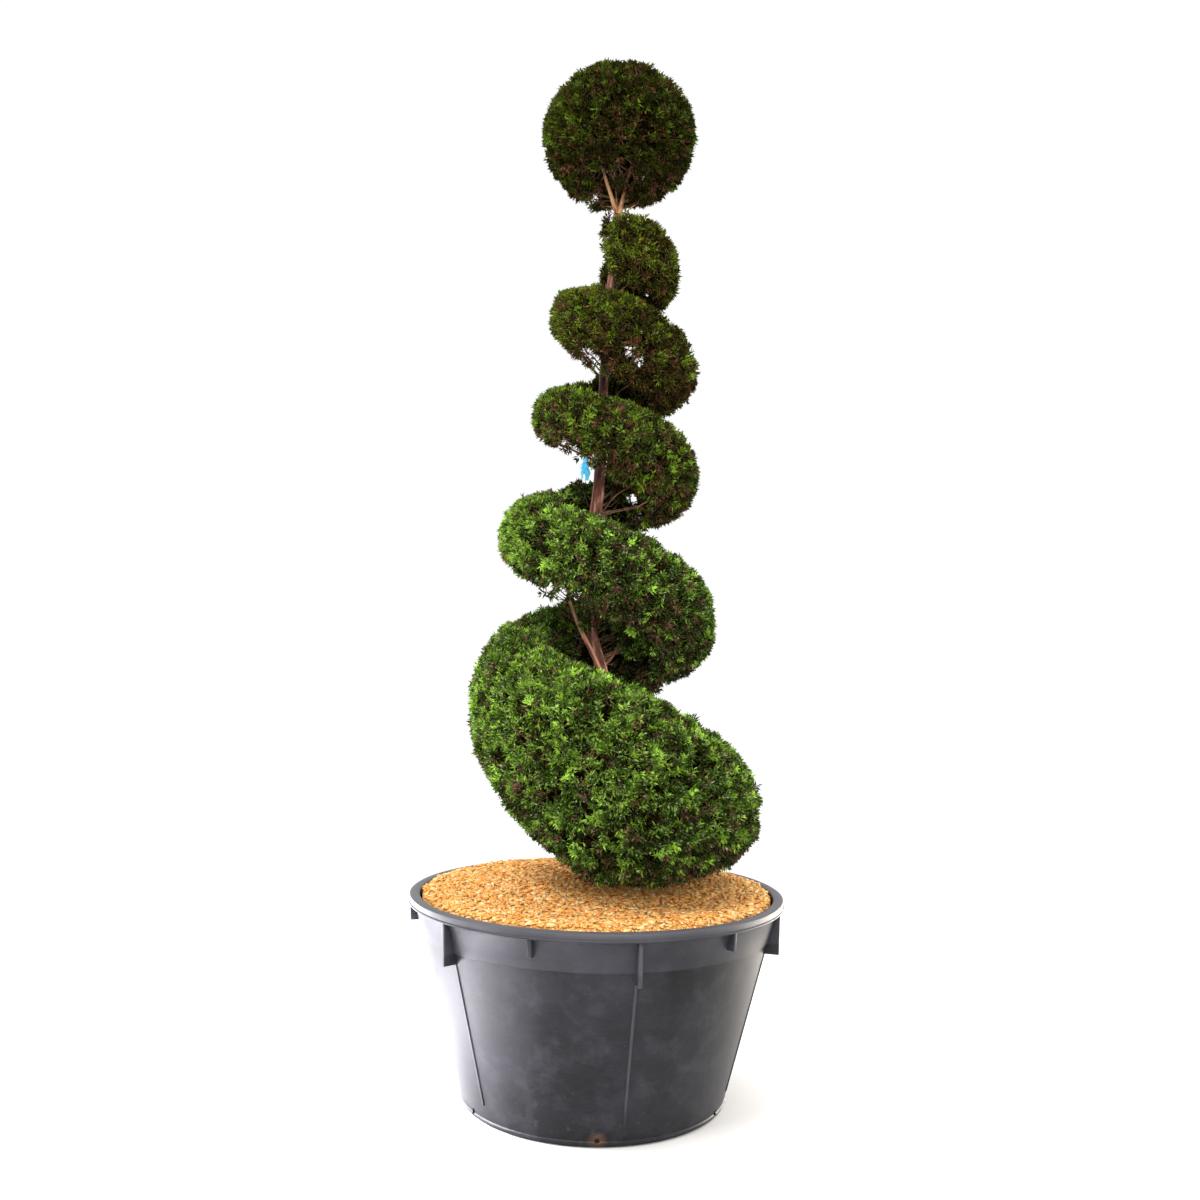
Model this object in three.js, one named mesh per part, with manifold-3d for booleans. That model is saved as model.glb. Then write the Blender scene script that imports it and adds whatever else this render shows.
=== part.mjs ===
// Spiral topiary: a clipped yew trained as a rising spiral with a ball on top, growing in a
// large round nursery tub. Millimetres, +Z up. The origin is the centre of the tub's flat
// underside, and the plant is seen from -Y, with +X to the right.

import * as THREE from 'three';
import { mergeVertices } from 'three/addons/utils/BufferGeometryUtils.js';
import Module from 'manifold-3d';

const wasm = await Module();
wasm.setup();

// ---------------------------------------------------------------- driving dimensions

const GAP = 0.4; // clearance between pieces that touch

// Tub
const TUB = {
  baseRadius: 419,
  rimRadius: 610,
  rimTop: 640,
  rimDepth: 27,
  rimWidth: 36,
  wallTopRadius: 588,
  wall: 7,
  floor: 9,
  collarBottom: 522,
  collarStep: 3.5,
  beadHeight: 13,
  beadSize: 4,
  sides: 40,
};

// Radial fins under the rim, long and short in turn, and the drain holes at the foot
const FINS = { count: 6, long: 124, short: 53, thickness: 13, firstLong: 12, firstShort: -18 };
const DRAINS = { count: 6, radius: 8, height: 21, first: 2, sides: 6 };

// Soil and the layer of wood chips on it
const SOIL_TOP = 585;
const CHIPS = { edge: 616, crest: 682, crestBehind: 150, waviness: 5, sides: 24 };

// The trunk's centre line and radius at each height
const TRUNK = [
  { x: -4, y: 4, z: SOIL_TOP - 20, r: 96 },
  { x: -5, y: 4, z: 640, r: 67 },
  { x: -8, y: 4, z: 760, r: 52 },
  { x: -4, y: 4, z: 1000, r: 41 },
  { x: 6, y: 2, z: 1250, r: 33 },
  { x: 2, y: 0, z: 1365, r: 30 },
  { x: -26, y: 0, z: 1450, r: 26 },
  { x: -45, y: 0, z: 1550, r: 24 },
  { x: -42, y: 2, z: 1750, r: 22.5 },
  { x: -22, y: 2, z: 1950, r: 21 },
  { x: -17, y: 0, z: 2060, r: 17 },
  { x: -11, y: 0, z: 2370, r: 15.5 },
  { x: 6, y: 0, z: 2700, r: 13 },
  { x: 24, y: 0, z: 2915, r: 13 },
  { x: 27, y: 0, z: 2962, r: 17 },
];
const TRUNK_SIDES = 12;
const TRUNK_STEPS = 20;
const FORK_TOP = 2952;

// The clipped band at each quarter turn, from its foot low down behind the trunk, round by
// the right, the front, the left and the back: its reach from the spiral's axis, the height
// of its middle and half of its thickness.
const BAND = [
  { reach: 400, level: 740, half: 125 },
  { reach: 537, level: 897, half: 217 },
  { reach: 521, level: 1025, half: 375 },
  { reach: 445, level: 1265, half: 274 },
  { reach: 412, level: 1427, half: 231 },
  { reach: 380, level: 1510, half: 190 },
  { reach: 378, level: 1680, half: 185 },
  { reach: 378, level: 1805, half: 158 },
  { reach: 330, level: 1924, half: 140 },
  { reach: 310, level: 2008, half: 150 },
  { reach: 310, level: 2106, half: 158 },
  { reach: 278, level: 2220, half: 118 },
  { reach: 270, level: 2308, half: 136 },
  { reach: 295, level: 2371, half: 136 },
  { reach: 277, level: 2448, half: 181 },
  { reach: 230, level: 2566, half: 115 },
  { reach: 218, level: 2672, half: 113 },
  { reach: 221, level: 2730, half: 145 },
  { reach: 190, level: 2774, half: 150 },
  { reach: 150, level: 2770, half: 110 },
];
const FIRST_QUARTER = -1; // the first row of BAND stands a quarter turn before the right
const TIP_QUARTER = 17.3; // where the band ends, just past the front of the fifth turn
const END_ROUNDING = { foot: 0.5, tip: 0.4 }; // quarter turns over which the ends round off

// Section of the band
const SECTION = {
  sides: 14,
  innerShare: 0.2, // inner edge as a share of the reach, plus a fixed part
  innerFixed: 42,
  squareness: 0.92, // 1 is an ellipse, less is squarer
  pinch: 0.32, // how much thinner the band is at its inner edge
  lift: 0.12, // how far the inner edge rises
  droop: 0.15, // how far the outer edge hangs
  undercut: 0.72, // how far the lower outer edge is clipped back
};
const STEPS_PER_QUARTER = 5;
const LUMPS = { height: 9, length: 150 }; // the clipped surface is never quite even

// The spiral's axis leans a little to the right as it climbs
const AXIS = { foot: 600, top: 3200, lean: 32 };

// Ball on top
const BALL = {
  x: 26,
  z: 3222,
  radius: 274,
  height: 250,
  dimple: 45,
  dimpleShare: 0.14,
  rings: 13,
  sides: 22,
};

// Boughs that carry the band: radius at the trunk and at the tip, at the bottom and the top
const BOUGH = { rootLow: 17, rootHigh: 7, tipShare: 0.5, steps: 4, sides: 7, reachIn: 60 };

// Boughs that fan out from the fork into the ball: bearing from the right in degrees (turning
// towards the front), slope from level in degrees, length and root radius
const CROWN_BOUGHS = [
  { name: 'left', bearing: 165, slope: 64, length: 210, r: 9 },
  { name: 'right', bearing: 20, slope: 70, length: 210, r: 9 },
  { name: 'outer_left', bearing: 190, slope: 24, length: 200, r: 6.5 },
  { name: 'outer_right', bearing: -8, slope: 30, length: 200, r: 7 },
  { name: 'front', bearing: 100, slope: 42, length: 190, r: 7.5 },
  { name: 'behind', bearing: -95, slope: 46, length: 190, r: 8 },
];

// Second stem, which leaves the trunk above the first turn and leans left
const SECOND_STEM = [
  { x: 4, y: -14, z: 1345, r: 17 },
  { x: -38, y: -30, z: 1430, r: 13 },
  { x: -72, y: -34, z: 1490, r: 11 },
  { x: -100, y: -34, z: 1555, r: 10 },
  { x: -118, y: -32, z: 1620, r: 9 },
  { x: -128, y: -30, z: 1700, r: 8 },
];

// Marker tape tied round the trunk, with two loose ends
const TAPE = { z: 2072, height: 9, thickness: 1.2, knot: 9, tail: 78, tailWidth: 13, standOff: 34 };

const COLOURS = {
  tub: 0x3a3c40,
  soil: 0x2b211a,
  chips: 0xb9824a,
  bark: 0x7a5443,
  low: 0x3f6d22,
  high: 0x2c3d1b,
  tape: 0x49b8e8,
};

// ---------------------------------------------------------------- shared helpers

function material(color, roughness) {
  return new THREE.MeshStandardMaterial({ color, roughness, metalness: 0 });
}

function part(name, geometry, look) {
  const mesh = new THREE.Mesh(geometry, look);
  mesh.name = name;
  return mesh;
}

// A geometry with shared corners and nothing but positions
function welded(geometry) {
  const bare = geometry.clone();
  bare.deleteAttribute('normal');
  bare.deleteAttribute('uv');
  return mergeVertices(bare, 1e-4);
}

function toSolid(geometry) {
  const bare = welded(geometry);
  return new wasm.Manifold(new wasm.Mesh({
    numProp: 3,
    vertProperties: new Float32Array(bare.attributes.position.array),
    triVerts: new Uint32Array(bare.index.array),
  }));
}

function toGeometry(solid) {
  const mesh = solid.getMesh();
  const geometry = new THREE.BufferGeometry();
  geometry.setAttribute('position', new THREE.BufferAttribute(mesh.vertProperties, 3));
  geometry.setIndex(new THREE.BufferAttribute(mesh.triVerts, 1));
  return geometry;
}

// The piece of a cut solid that holds the most material
function largestPiece(solid) {
  const pieces = solid.decompose();
  return pieces.reduce((best, piece) => (piece.volume() > best.volume() ? piece : best));
}

// Moves every corner of a welded geometry to place(corner)
function reshape(geometry, place) {
  const bare = welded(geometry);
  const position = bare.attributes.position;
  const corner = new THREE.Vector3();
  for (let i = 0; i < position.count; i++) {
    const moved = place(corner.fromBufferAttribute(position, i));
    position.setXYZ(i, moved.x, moved.y, moved.z);
  }
  return bare;
}

// A closed rod of unit radius, whose corners go to place(share along, angle round, 0 or 1)
function wrappedRod(sides, steps, place) {
  const rod = new THREE.CylinderGeometry(1, 1, 1, sides, steps);
  return reshape(rod, (p) => place(p.y + 0.5, Math.atan2(p.z, p.x), Math.hypot(p.x, p.z)));
}

// Smooth curve through evenly spaced values, at a position counted in steps
function smoothValue(values, at) {
  const last = values.length - 1;
  const i = Math.min(Math.max(Math.floor(at), 0), last - 1);
  const t = at - i;
  const before = i > 0 ? values[i - 1] : 2 * values[0] - values[1];
  const after = i + 2 <= last ? values[i + 2] : 2 * values[last] - values[last - 1];
  const a = values[i];
  const b = values[i + 1];
  const bend = 2 * before - 5 * a + 4 * b - after;
  const twist = 3 * a - before - 3 * b + after;
  return a + 0.5 * t * (b - before + t * (bend + t * twist));
}

// Gentle unevenness between -1 and 1 over the plant
function unevenness(p) {
  const k = (2 * Math.PI) / LUMPS.length;
  const first = Math.sin(k * p.x + 1.3) * Math.sin(k * p.y * 1.13 + 0.4) * Math.sin(k * p.z * 0.94);
  const second = Math.sin(k * (0.6 * p.x + 1.7 * p.y) + 2.1) * Math.sin(k * (1.5 * p.z - 0.7 * p.x));
  return 0.6 * first + 0.4 * second;
}

const degrees = THREE.MathUtils.degToRad;

// ---------------------------------------------------------------- tub, soil and chips

function tubWallRadius(z) {
  return THREE.MathUtils.mapLinear(z, 0, TUB.rimTop - TUB.rimDepth, TUB.baseRadius, TUB.wallTopRadius);
}

// Turned about +Z: LatheGeometry turns its outline about +Y, so it is stood up
function turned(points, sides) {
  const outline = points.map(([r, z]) => new THREE.Vector2(r, z));
  return new THREE.LatheGeometry(outline, sides).rotateX(Math.PI / 2);
}

function tubShell() {
  const { baseRadius, rimRadius, rimTop, rimDepth, rimWidth, wall, floor, sides } = TUB;
  const rimBottom = rimTop - rimDepth;
  const rimInner = rimRadius - rimWidth;
  const step = TUB.collarBottom;
  const bead = TUB.beadHeight;
  return turned([
    [0, 0],
    [baseRadius - 4, 0],
    [tubWallRadius(4), 4],
    [tubWallRadius(bead - 5), bead - 5],
    [tubWallRadius(bead) + TUB.beadSize, bead],
    [tubWallRadius(bead + 5), bead + 5],
    [tubWallRadius(step), step],
    [tubWallRadius(step) + TUB.collarStep, step + 2],
    [tubWallRadius(rimBottom) + TUB.collarStep, rimBottom],
    [rimRadius - 5, rimBottom],
    [rimRadius, rimBottom + 6],
    [rimRadius, rimTop - 7],
    [rimRadius - 7, rimTop],
    [rimInner + 6, rimTop],
    [rimInner, rimTop - 6],
    [tubWallRadius(rimBottom) - wall, rimBottom - 12],
    [tubWallRadius(floor) - wall, floor],
    [0, floor],
  ], sides);
}

// One fin, standing out from the collar under the rim at a bearing from the front
function fin(bearing, height) {
  const top = TUB.rimTop - TUB.rimDepth + 2;
  const inner = tubWallRadius(top - height) - TUB.wall / 2;
  const outer = TUB.rimRadius - 4;
  const outline = new THREE.Shape();
  outline.moveTo(inner, top - height);
  outline.lineTo(outer - 6, top - height);
  outline.lineTo(outer, top - height + 6);
  outline.lineTo(outer, top);
  outline.lineTo(tubWallRadius(top) - TUB.wall / 2, top);
  const plate = new THREE.ExtrudeGeometry(outline, { depth: FINS.thickness, bevelEnabled: false });
  plate.translate(0, 0, -FINS.thickness / 2);
  plate.rotateX(Math.PI / 2);
  return plate.rotateZ(degrees(bearing - 90));
}

function drain(bearing) {
  const bore = new THREE.CylinderGeometry(DRAINS.radius, DRAINS.radius, 60, DRAINS.sides);
  bore.translate(0, -TUB.baseRadius, 0);
  return bore.translate(0, 0, DRAINS.height).rotateZ(degrees(bearing));
}

function makeTub() {
  let tub = toSolid(tubShell());
  const turn = 360 / FINS.count;
  for (let i = 0; i < FINS.count; i++) {
    tub = tub.add(toSolid(fin(FINS.firstLong + i * turn, FINS.long)));
    tub = tub.add(toSolid(fin(FINS.firstShort + i * turn, FINS.short)));
  }
  for (let i = 0; i < DRAINS.count; i++) {
    tub = tub.subtract(toSolid(drain(DRAINS.first + i * (360 / DRAINS.count))));
  }
  return toGeometry(tub);
}

function makeSoil() {
  const bottom = TUB.floor + GAP;
  const inset = TUB.wall + 1.2;
  return turned([
    [0, bottom],
    [tubWallRadius(bottom) - inset, bottom],
    [tubWallRadius(SOIL_TOP) - inset, SOIL_TOP],
    [0, SOIL_TOP],
  ], TUB.sides);
}

// Height of the chips: a low mound, highest behind the trunk, a little wavy
function chipsTop(x, y) {
  const edgeRadius = tubWallRadius(SOIL_TOP) - TUB.wall;
  const inward = 1 - Math.hypot(x, y) / edgeRadius;
  const out = Math.min(Math.hypot(x, y - CHIPS.crestBehind * inward) / edgeRadius, 1);
  const wave = CHIPS.waviness * Math.sin(x / 83 + 1) * Math.sin(y / 71) * (1 - out ** 4);
  return CHIPS.edge + (CHIPS.crest - CHIPS.edge) * (1 - out ** 2) + wave;
}

function makeChips(lift) {
  const bottom = SOIL_TOP + GAP;
  const edge = tubWallRadius(bottom) - TUB.wall - 1.2;
  const rings = [1, 0.84, 0.62, 0.4, 0.2, 0];
  const outline = [[0, bottom], [edge, bottom], ...rings.map((share) => [edge * share, CHIPS.edge])];
  return reshape(turned(outline, CHIPS.sides), (p) => {
    const height = p.z > bottom + 1 ? chipsTop(p.x, p.y) : p.z;
    return p.setZ(height + lift);
  });
}

// ---------------------------------------------------------------- trunk and boughs

// A tapering limb along a row of points, each with its own radius
function limb(points, sides, steps, growth = 0) {
  const line = new THREE.CatmullRomCurve3(points.map((p) => new THREE.Vector3(p.x, p.y, p.z)));
  const radii = points.map((p) => p.r);
  const side = new THREE.Vector3();
  const other = new THREE.Vector3();
  return wrappedRod(sides, steps, (along, angle, out) => {
    const ahead = line.getTangent(along);
    side.set(1, 0, 0).addScaledVector(ahead, -ahead.x).normalize();
    other.crossVectors(side, ahead);
    const radius = smoothValue(radii, along * (radii.length - 1)) + growth;
    return line.getPoint(along)
      .addScaledVector(side, out * radius * Math.cos(angle))
      .addScaledVector(other, out * radius * Math.sin(angle));
  });
}

function trunkAt(z) {
  const i = Math.max(TRUNK.findIndex((p) => p.z >= z), 1);
  const low = TRUNK[i - 1];
  const high = TRUNK[i];
  const share = (z - low.z) / (high.z - low.z);
  return {
    x: THREE.MathUtils.lerp(low.x, high.x, share),
    y: THREE.MathUtils.lerp(low.y, high.y, share),
    r: THREE.MathUtils.lerp(low.r, high.r, share),
  };
}

function wholeTrunk(growth) {
  return toSolid(limb(TRUNK, TRUNK_SIDES, TRUNK_STEPS, growth));
}

// The trunk stands on a flat cut at the soil and ends flat at the fork
function makeTrunk() {
  const bottom = SOIL_TOP + GAP;
  const keep = new THREE.BoxGeometry(400, 400, FORK_TOP - bottom);
  keep.translate(0, 0, (FORK_TOP + bottom) / 2);
  return wholeTrunk(0).intersect(toSolid(keep));
}

// ---------------------------------------------------------------- clipped band

const REACH = BAND.map((row) => row.reach);
const LEVEL = BAND.map((row) => row.level);
const HALF = BAND.map((row) => row.half);

function axisX(z) {
  const share = THREE.MathUtils.clamp((z - AXIS.foot) / (AXIS.top - AXIS.foot), 0, 1);
  return AXIS.lean * share;
}

// How far the ends of the band have rounded off, from 1 on the band to nearly 0 at its ends
function endShare(quarter) {
  const foot = (quarter - FIRST_QUARTER) / END_ROUNDING.foot;
  const tip = (TIP_QUARTER - quarter) / END_ROUNDING.tip;
  const left = 1 - THREE.MathUtils.clamp(Math.min(foot, tip), 0, 1);
  return Math.sqrt(Math.max(1 - left * left, 0.04));
}

// Section of the band: distance from the axis and height, at an angle round the section
function bandSection(quarter, angle, out, growth) {
  const at = quarter - FIRST_QUARTER;
  const reach = smoothValue(REACH, at);
  const inner = SECTION.innerShare * reach + SECTION.innerFixed;
  const round = endShare(quarter);
  const halfWidth = (round * (reach - inner)) / 2 + growth;
  const halfHeight = round * smoothValue(HALF, at) + growth;
  const square = (v) => Math.sign(v) * Math.abs(v) ** SECTION.squareness;
  const across = out * square(Math.cos(angle));
  const up = out * square(Math.sin(angle));
  const inward = (1 - across) / 2;
  const clippedBack = SECTION.undercut * halfWidth * Math.max(-up, 0) ** 2;
  return {
    r: (reach + inner) / 2 + halfWidth * across - clippedBack,
    z: smoothValue(LEVEL, at) + halfHeight * up * (1 - SECTION.pinch * inward)
      - SECTION.droop * halfWidth * across + SECTION.lift * halfHeight * inward,
  };
}

// Quarter 0 is to the right, 1 the front, 2 the left and 3 behind
function bandPoint(quarter, angle, out, growth) {
  const section = bandSection(quarter, angle, out, growth);
  const bearing = (quarter * Math.PI) / 2;
  const point = new THREE.Vector3(
    axisX(section.z) + section.r * Math.cos(bearing),
    -section.r * Math.sin(bearing),
    section.z,
  );
  const swell = LUMPS.height * unevenness(point) * out;
  point.z += swell * Math.sin(angle);
  point.x += swell * Math.cos(angle) * Math.cos(bearing);
  point.y -= swell * Math.cos(angle) * Math.sin(bearing);
  return point;
}

// One stretch of the band, held back by a small gap from its neighbours
function bandStretch(from, to, growth) {
  const steps = Math.max(Math.round((to - from) * STEPS_PER_QUARTER), 3);
  return wrappedRod(SECTION.sides, steps, (along, angle, out) => {
    const quarter = THREE.MathUtils.lerp(to, from, along);
    const point = bandPoint(quarter, angle, out, growth);
    const bearing = (quarter * Math.PI) / 2;
    const back = along === 0 ? 1 : along === 1 ? -1 : 0;
    const pull = back * (GAP / 2 - growth);
    point.x += pull * Math.sin(bearing);
    point.y += pull * Math.cos(bearing);
    return point;
  });
}

const QUARTER_NAMES = ['right', 'front', 'left', 'behind'];

// The stretches of the band, each a quarter turn centred on its own side
function stretches() {
  const list = [{ name: 'turn_1_foot', from: FIRST_QUARTER, to: -0.5 }];
  for (let quarter = 0; quarter <= Math.floor(TIP_QUARTER); quarter++) {
    const turn = Math.floor(quarter / 4) + 1;
    const name = `turn_${turn}_${QUARTER_NAMES[quarter % 4]}`;
    list.push({ name, from: quarter - 0.5, to: Math.min(quarter + 0.5, TIP_QUARTER) });
  }
  return list;
}

function bandLook(z) {
  const share = THREE.MathUtils.clamp((z - 1700) / 500, 0, 1);
  const color = new THREE.Color(COLOURS.low).lerp(new THREE.Color(COLOURS.high), share);
  return material(color, 0.9);
}

// ---------------------------------------------------------------- ball

function makeBall(growth) {
  const ball = new THREE.SphereGeometry(1, BALL.sides, BALL.rings).rotateX(Math.PI / 2);
  return reshape(ball, (p) => {
    const point = new THREE.Vector3(p.x * BALL.radius, p.y * BALL.radius, p.z * BALL.height);
    point.add(new THREE.Vector3(BALL.x, 0, BALL.z));
    const swell = LUMPS.height * unevenness(point) + growth;
    const under = Math.max(-p.z - 1 + BALL.dimpleShare, 0) / BALL.dimpleShare;
    point.addScaledVector(p, swell);
    point.z += BALL.dimple * under * under;
    return point;
  });
}

// ---------------------------------------------------------------- boughs

// One bough from the trunk out into a stretch of the band
function bandBough(stretch) {
  const middle = (stretch.from + stretch.to) / 2;
  const target = bandSection(middle, 0, 0, 0);
  const share = (target.z - AXIS.foot) / (AXIS.top - AXIS.foot);
  const rootRadius = THREE.MathUtils.lerp(BOUGH.rootLow, BOUGH.rootHigh, Math.sqrt(share));
  const bearing = (middle * Math.PI) / 2;
  const reach = smoothValue(REACH, middle - FIRST_QUARTER);
  const inner = SECTION.innerShare * reach + SECTION.innerFixed + BOUGH.reachIn;
  const half = smoothValue(HALF, middle - FIRST_QUARTER);
  const rootZ = Math.max(target.z - 0.62 * half - 0.3 * reach, SOIL_TOP + 110);
  const root = trunkAt(rootZ);
  const points = [0, 0.35, 0.7, 1].map((along) => {
    const r = along * inner;
    const rise = Math.sin((along * Math.PI) / 2);
    return {
      x: THREE.MathUtils.lerp(root.x, axisX(target.z) + r * Math.cos(bearing), along),
      y: THREE.MathUtils.lerp(root.y, -r * Math.sin(bearing), along),
      z: THREE.MathUtils.lerp(rootZ, target.z - 0.1 * half, rise),
      r: rootRadius * THREE.MathUtils.lerp(1, BOUGH.tipShare, along),
    };
  });
  return limb(points, BOUGH.sides, BOUGH.steps);
}

// One bough from the fork up into the ball
function crownBough({ bearing, slope, length, r }, growth) {
  const turn = degrees(bearing);
  const points = [0, 0.4, 1].map((along) => {
    const rise = degrees(slope + 12 * along);
    const out = along * length * Math.cos(rise);
    return {
      x: TRUNK.at(-1).x + out * Math.cos(turn),
      y: -out * Math.sin(turn),
      z: FORK_TOP - 12 + along * length * Math.sin(rise),
      r: r * (1 - 0.45 * along),
    };
  });
  return toSolid(limb(points, BOUGH.sides, BOUGH.steps, growth));
}

// ---------------------------------------------------------------- marker tape

function makeTape() {
  const at = trunkAt(TAPE.z);
  const inner = at.r - 2;
  const outer = at.r + 1 + TAPE.thickness;
  const loop = turned([
    [inner, -TAPE.height / 2],
    [outer, -TAPE.height / 2],
    [outer, TAPE.height / 2],
    [inner, TAPE.height / 2],
    [inner, -TAPE.height / 2],
  ], 10);
  const neck = new THREE.BoxGeometry(TAPE.standOff - inner, 4, 4);
  neck.translate(-(TAPE.standOff + inner) / 2, 0, 0);
  const knot = new THREE.SphereGeometry(TAPE.knot, 8, 6).translate(-TAPE.standOff, 0, 0);
  let tape = toSolid(loop).add(toSolid(neck)).add(toSolid(knot));
  for (const side of [-1, 1]) {
    const tail = new THREE.BoxGeometry(TAPE.tailWidth, TAPE.thickness * 2, TAPE.tail);
    tail.translate(-TAPE.standOff, 0, -TAPE.tail / 2);
    tail.rotateY(degrees(side * 7));
    tape = tape.add(toSolid(tail.translate(side * 3, side * 2, side * 3)));
  }
  return toGeometry(largestPiece(tape.translate([at.x, at.y, TAPE.z]).subtract(trunkRoom)));
}

// ---------------------------------------------------------------- assembly

const plant = new THREE.Group();

plant.add(part('tub', makeTub(), material(COLOURS.tub, 0.45)));
plant.add(part('soil', makeSoil(), material(COLOURS.soil, 0.95)));

const trunk = makeTrunk();
const trunkRoom = wholeTrunk(GAP);
const bark = material(COLOURS.bark, 0.8);
plant.add(part('trunk', toGeometry(trunk), bark));
const chips = toSolid(makeChips(0)).subtract(trunkRoom);
plant.add(part('wood_chips', toGeometry(chips), material(COLOURS.chips, 0.9)));
const chipsRoom = toSolid(makeChips(GAP));

// Masses, cut round the trunk and down to the chips
let crown = toSolid(makeBall(GAP));
for (const { name, from, to } of stretches()) {
  const mass = largestPiece(toSolid(bandStretch(from, to, 0)).subtract(trunkRoom).subtract(chipsRoom));
  plant.add(part(name, toGeometry(mass), bandLook(bandSection(from, 0, 0, 0).z)));
  crown = crown.add(toSolid(bandStretch(from, to, GAP)));
}
plant.add(part('ball', toGeometry(toSolid(makeBall(0))), bandLook(BALL.z)));

// Boughs, cut where they leave the trunk and where they enter a mass
let taken = trunkRoom.add(crown);
const secondStem = largestPiece(toSolid(limb(SECOND_STEM, BOUGH.sides, 9)).subtract(taken));
plant.add(part('second_stem', toGeometry(secondStem), bark));
taken = taken.add(toSolid(limb(SECOND_STEM, BOUGH.sides, 9, GAP)));
for (const stretch of stretches()) {
  const bough = largestPiece(toSolid(bandBough(stretch)).subtract(taken));
  plant.add(part(`bough_${stretch.name}`, toGeometry(bough), bark));
}
for (const row of CROWN_BOUGHS) {
  const bough = largestPiece(crownBough(row, 0).subtract(taken));
  taken = taken.add(crownBough(row, GAP));
  plant.add(part(`bough_ball_${row.name}`, toGeometry(bough), bark));
}

plant.add(part('marker_tape', makeTape(), material(COLOURS.tape, 0.4)));

export default plant;
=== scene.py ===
"""Spiral topiary in a nursery tub: a clipped yew spiral with a ball on top.

Metres, +Z up, seen from -Y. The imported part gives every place: the tub, the mound of chips,
the trunk, the boughs and the clipped outline of each mass. The looks are built on them here.
"""

from __future__ import annotations

import logging
import math
from collections.abc import Callable, Iterable
from dataclasses import dataclass, field
from enum import Enum
from functools import cached_property

import bpy
import numpy as np
from mathutils import Euler, Matrix, Vector, noise
from mathutils.bvhtree import BVHTree
from mathutils.kdtree import KDTree


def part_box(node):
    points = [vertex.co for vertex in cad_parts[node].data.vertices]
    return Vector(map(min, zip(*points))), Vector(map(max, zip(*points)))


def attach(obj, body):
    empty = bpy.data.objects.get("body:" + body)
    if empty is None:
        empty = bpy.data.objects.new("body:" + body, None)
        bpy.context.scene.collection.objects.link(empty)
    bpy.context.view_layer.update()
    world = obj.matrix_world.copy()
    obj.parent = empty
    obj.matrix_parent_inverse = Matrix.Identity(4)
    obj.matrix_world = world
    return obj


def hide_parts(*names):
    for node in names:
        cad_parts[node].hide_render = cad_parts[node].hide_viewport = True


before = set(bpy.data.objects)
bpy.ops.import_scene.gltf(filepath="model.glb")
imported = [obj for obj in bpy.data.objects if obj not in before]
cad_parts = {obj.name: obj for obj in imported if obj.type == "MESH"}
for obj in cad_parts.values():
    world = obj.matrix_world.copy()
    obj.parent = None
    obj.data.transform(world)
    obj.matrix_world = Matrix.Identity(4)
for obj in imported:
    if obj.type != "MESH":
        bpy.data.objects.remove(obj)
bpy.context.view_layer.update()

Colour = tuple[float, float, float]
Piece = bpy.types.Object
log = logging.getLogger("topiary")

BODY = "root"
VIEWPOINT = (-0.0125, -3.88, 1.40)
UP = np.array([0.0, 0.0, 1.0])
ASKEW = np.array([0.31, 0.17, 0.93])  # a direction that no twig follows
FAR = 1e9


# ---- shader expressions


@dataclass(frozen=True)
class Sock:
    """A node's output socket that can be used in sums."""

    shader: Shader
    socket: bpy.types.NodeSocket

    def _math(self, operation: str, *values: Sock | float) -> Sock:
        """Adds a Math node on these values."""
        return self.shader.node("ShaderNodeMath", {"operation": operation}, dict(enumerate(values)))

    def __add__(self, other: Sock | float) -> Sock:
        """This value plus another."""
        return self._math("ADD", self, other)

    def __sub__(self, other: Sock | float) -> Sock:
        """This value less another."""
        return self._math("SUBTRACT", self, other)

    def __rsub__(self, other: Sock | float) -> Sock:
        """Another value less this one."""
        return self._math("SUBTRACT", other, self)

    def __mul__(self, other: Sock | float) -> Sock:
        """This value times another."""
        return self._math("MULTIPLY", self, other)

    __radd__, __rmul__ = __add__, __mul__

    def arctan2(self, other: Sock) -> Sock:
        """The angle whose tangent is this value over another."""
        return self._math("ARCTAN2", self, other)

    def pingpong(self, scale: float) -> Sock:
        """How far this value is from the nearest multiple of twice the scale."""
        return self._math("PINGPONG", self, scale)

    def band(self, low: float, high: float) -> Sock:
        """Runs from 0 at low to 1 at high, and stays there past both."""
        values = {"Value": self, "From Min": low, "From Max": high}
        return self.shader.node("ShaderNodeMapRange", {"clamp": True}, values)


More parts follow.
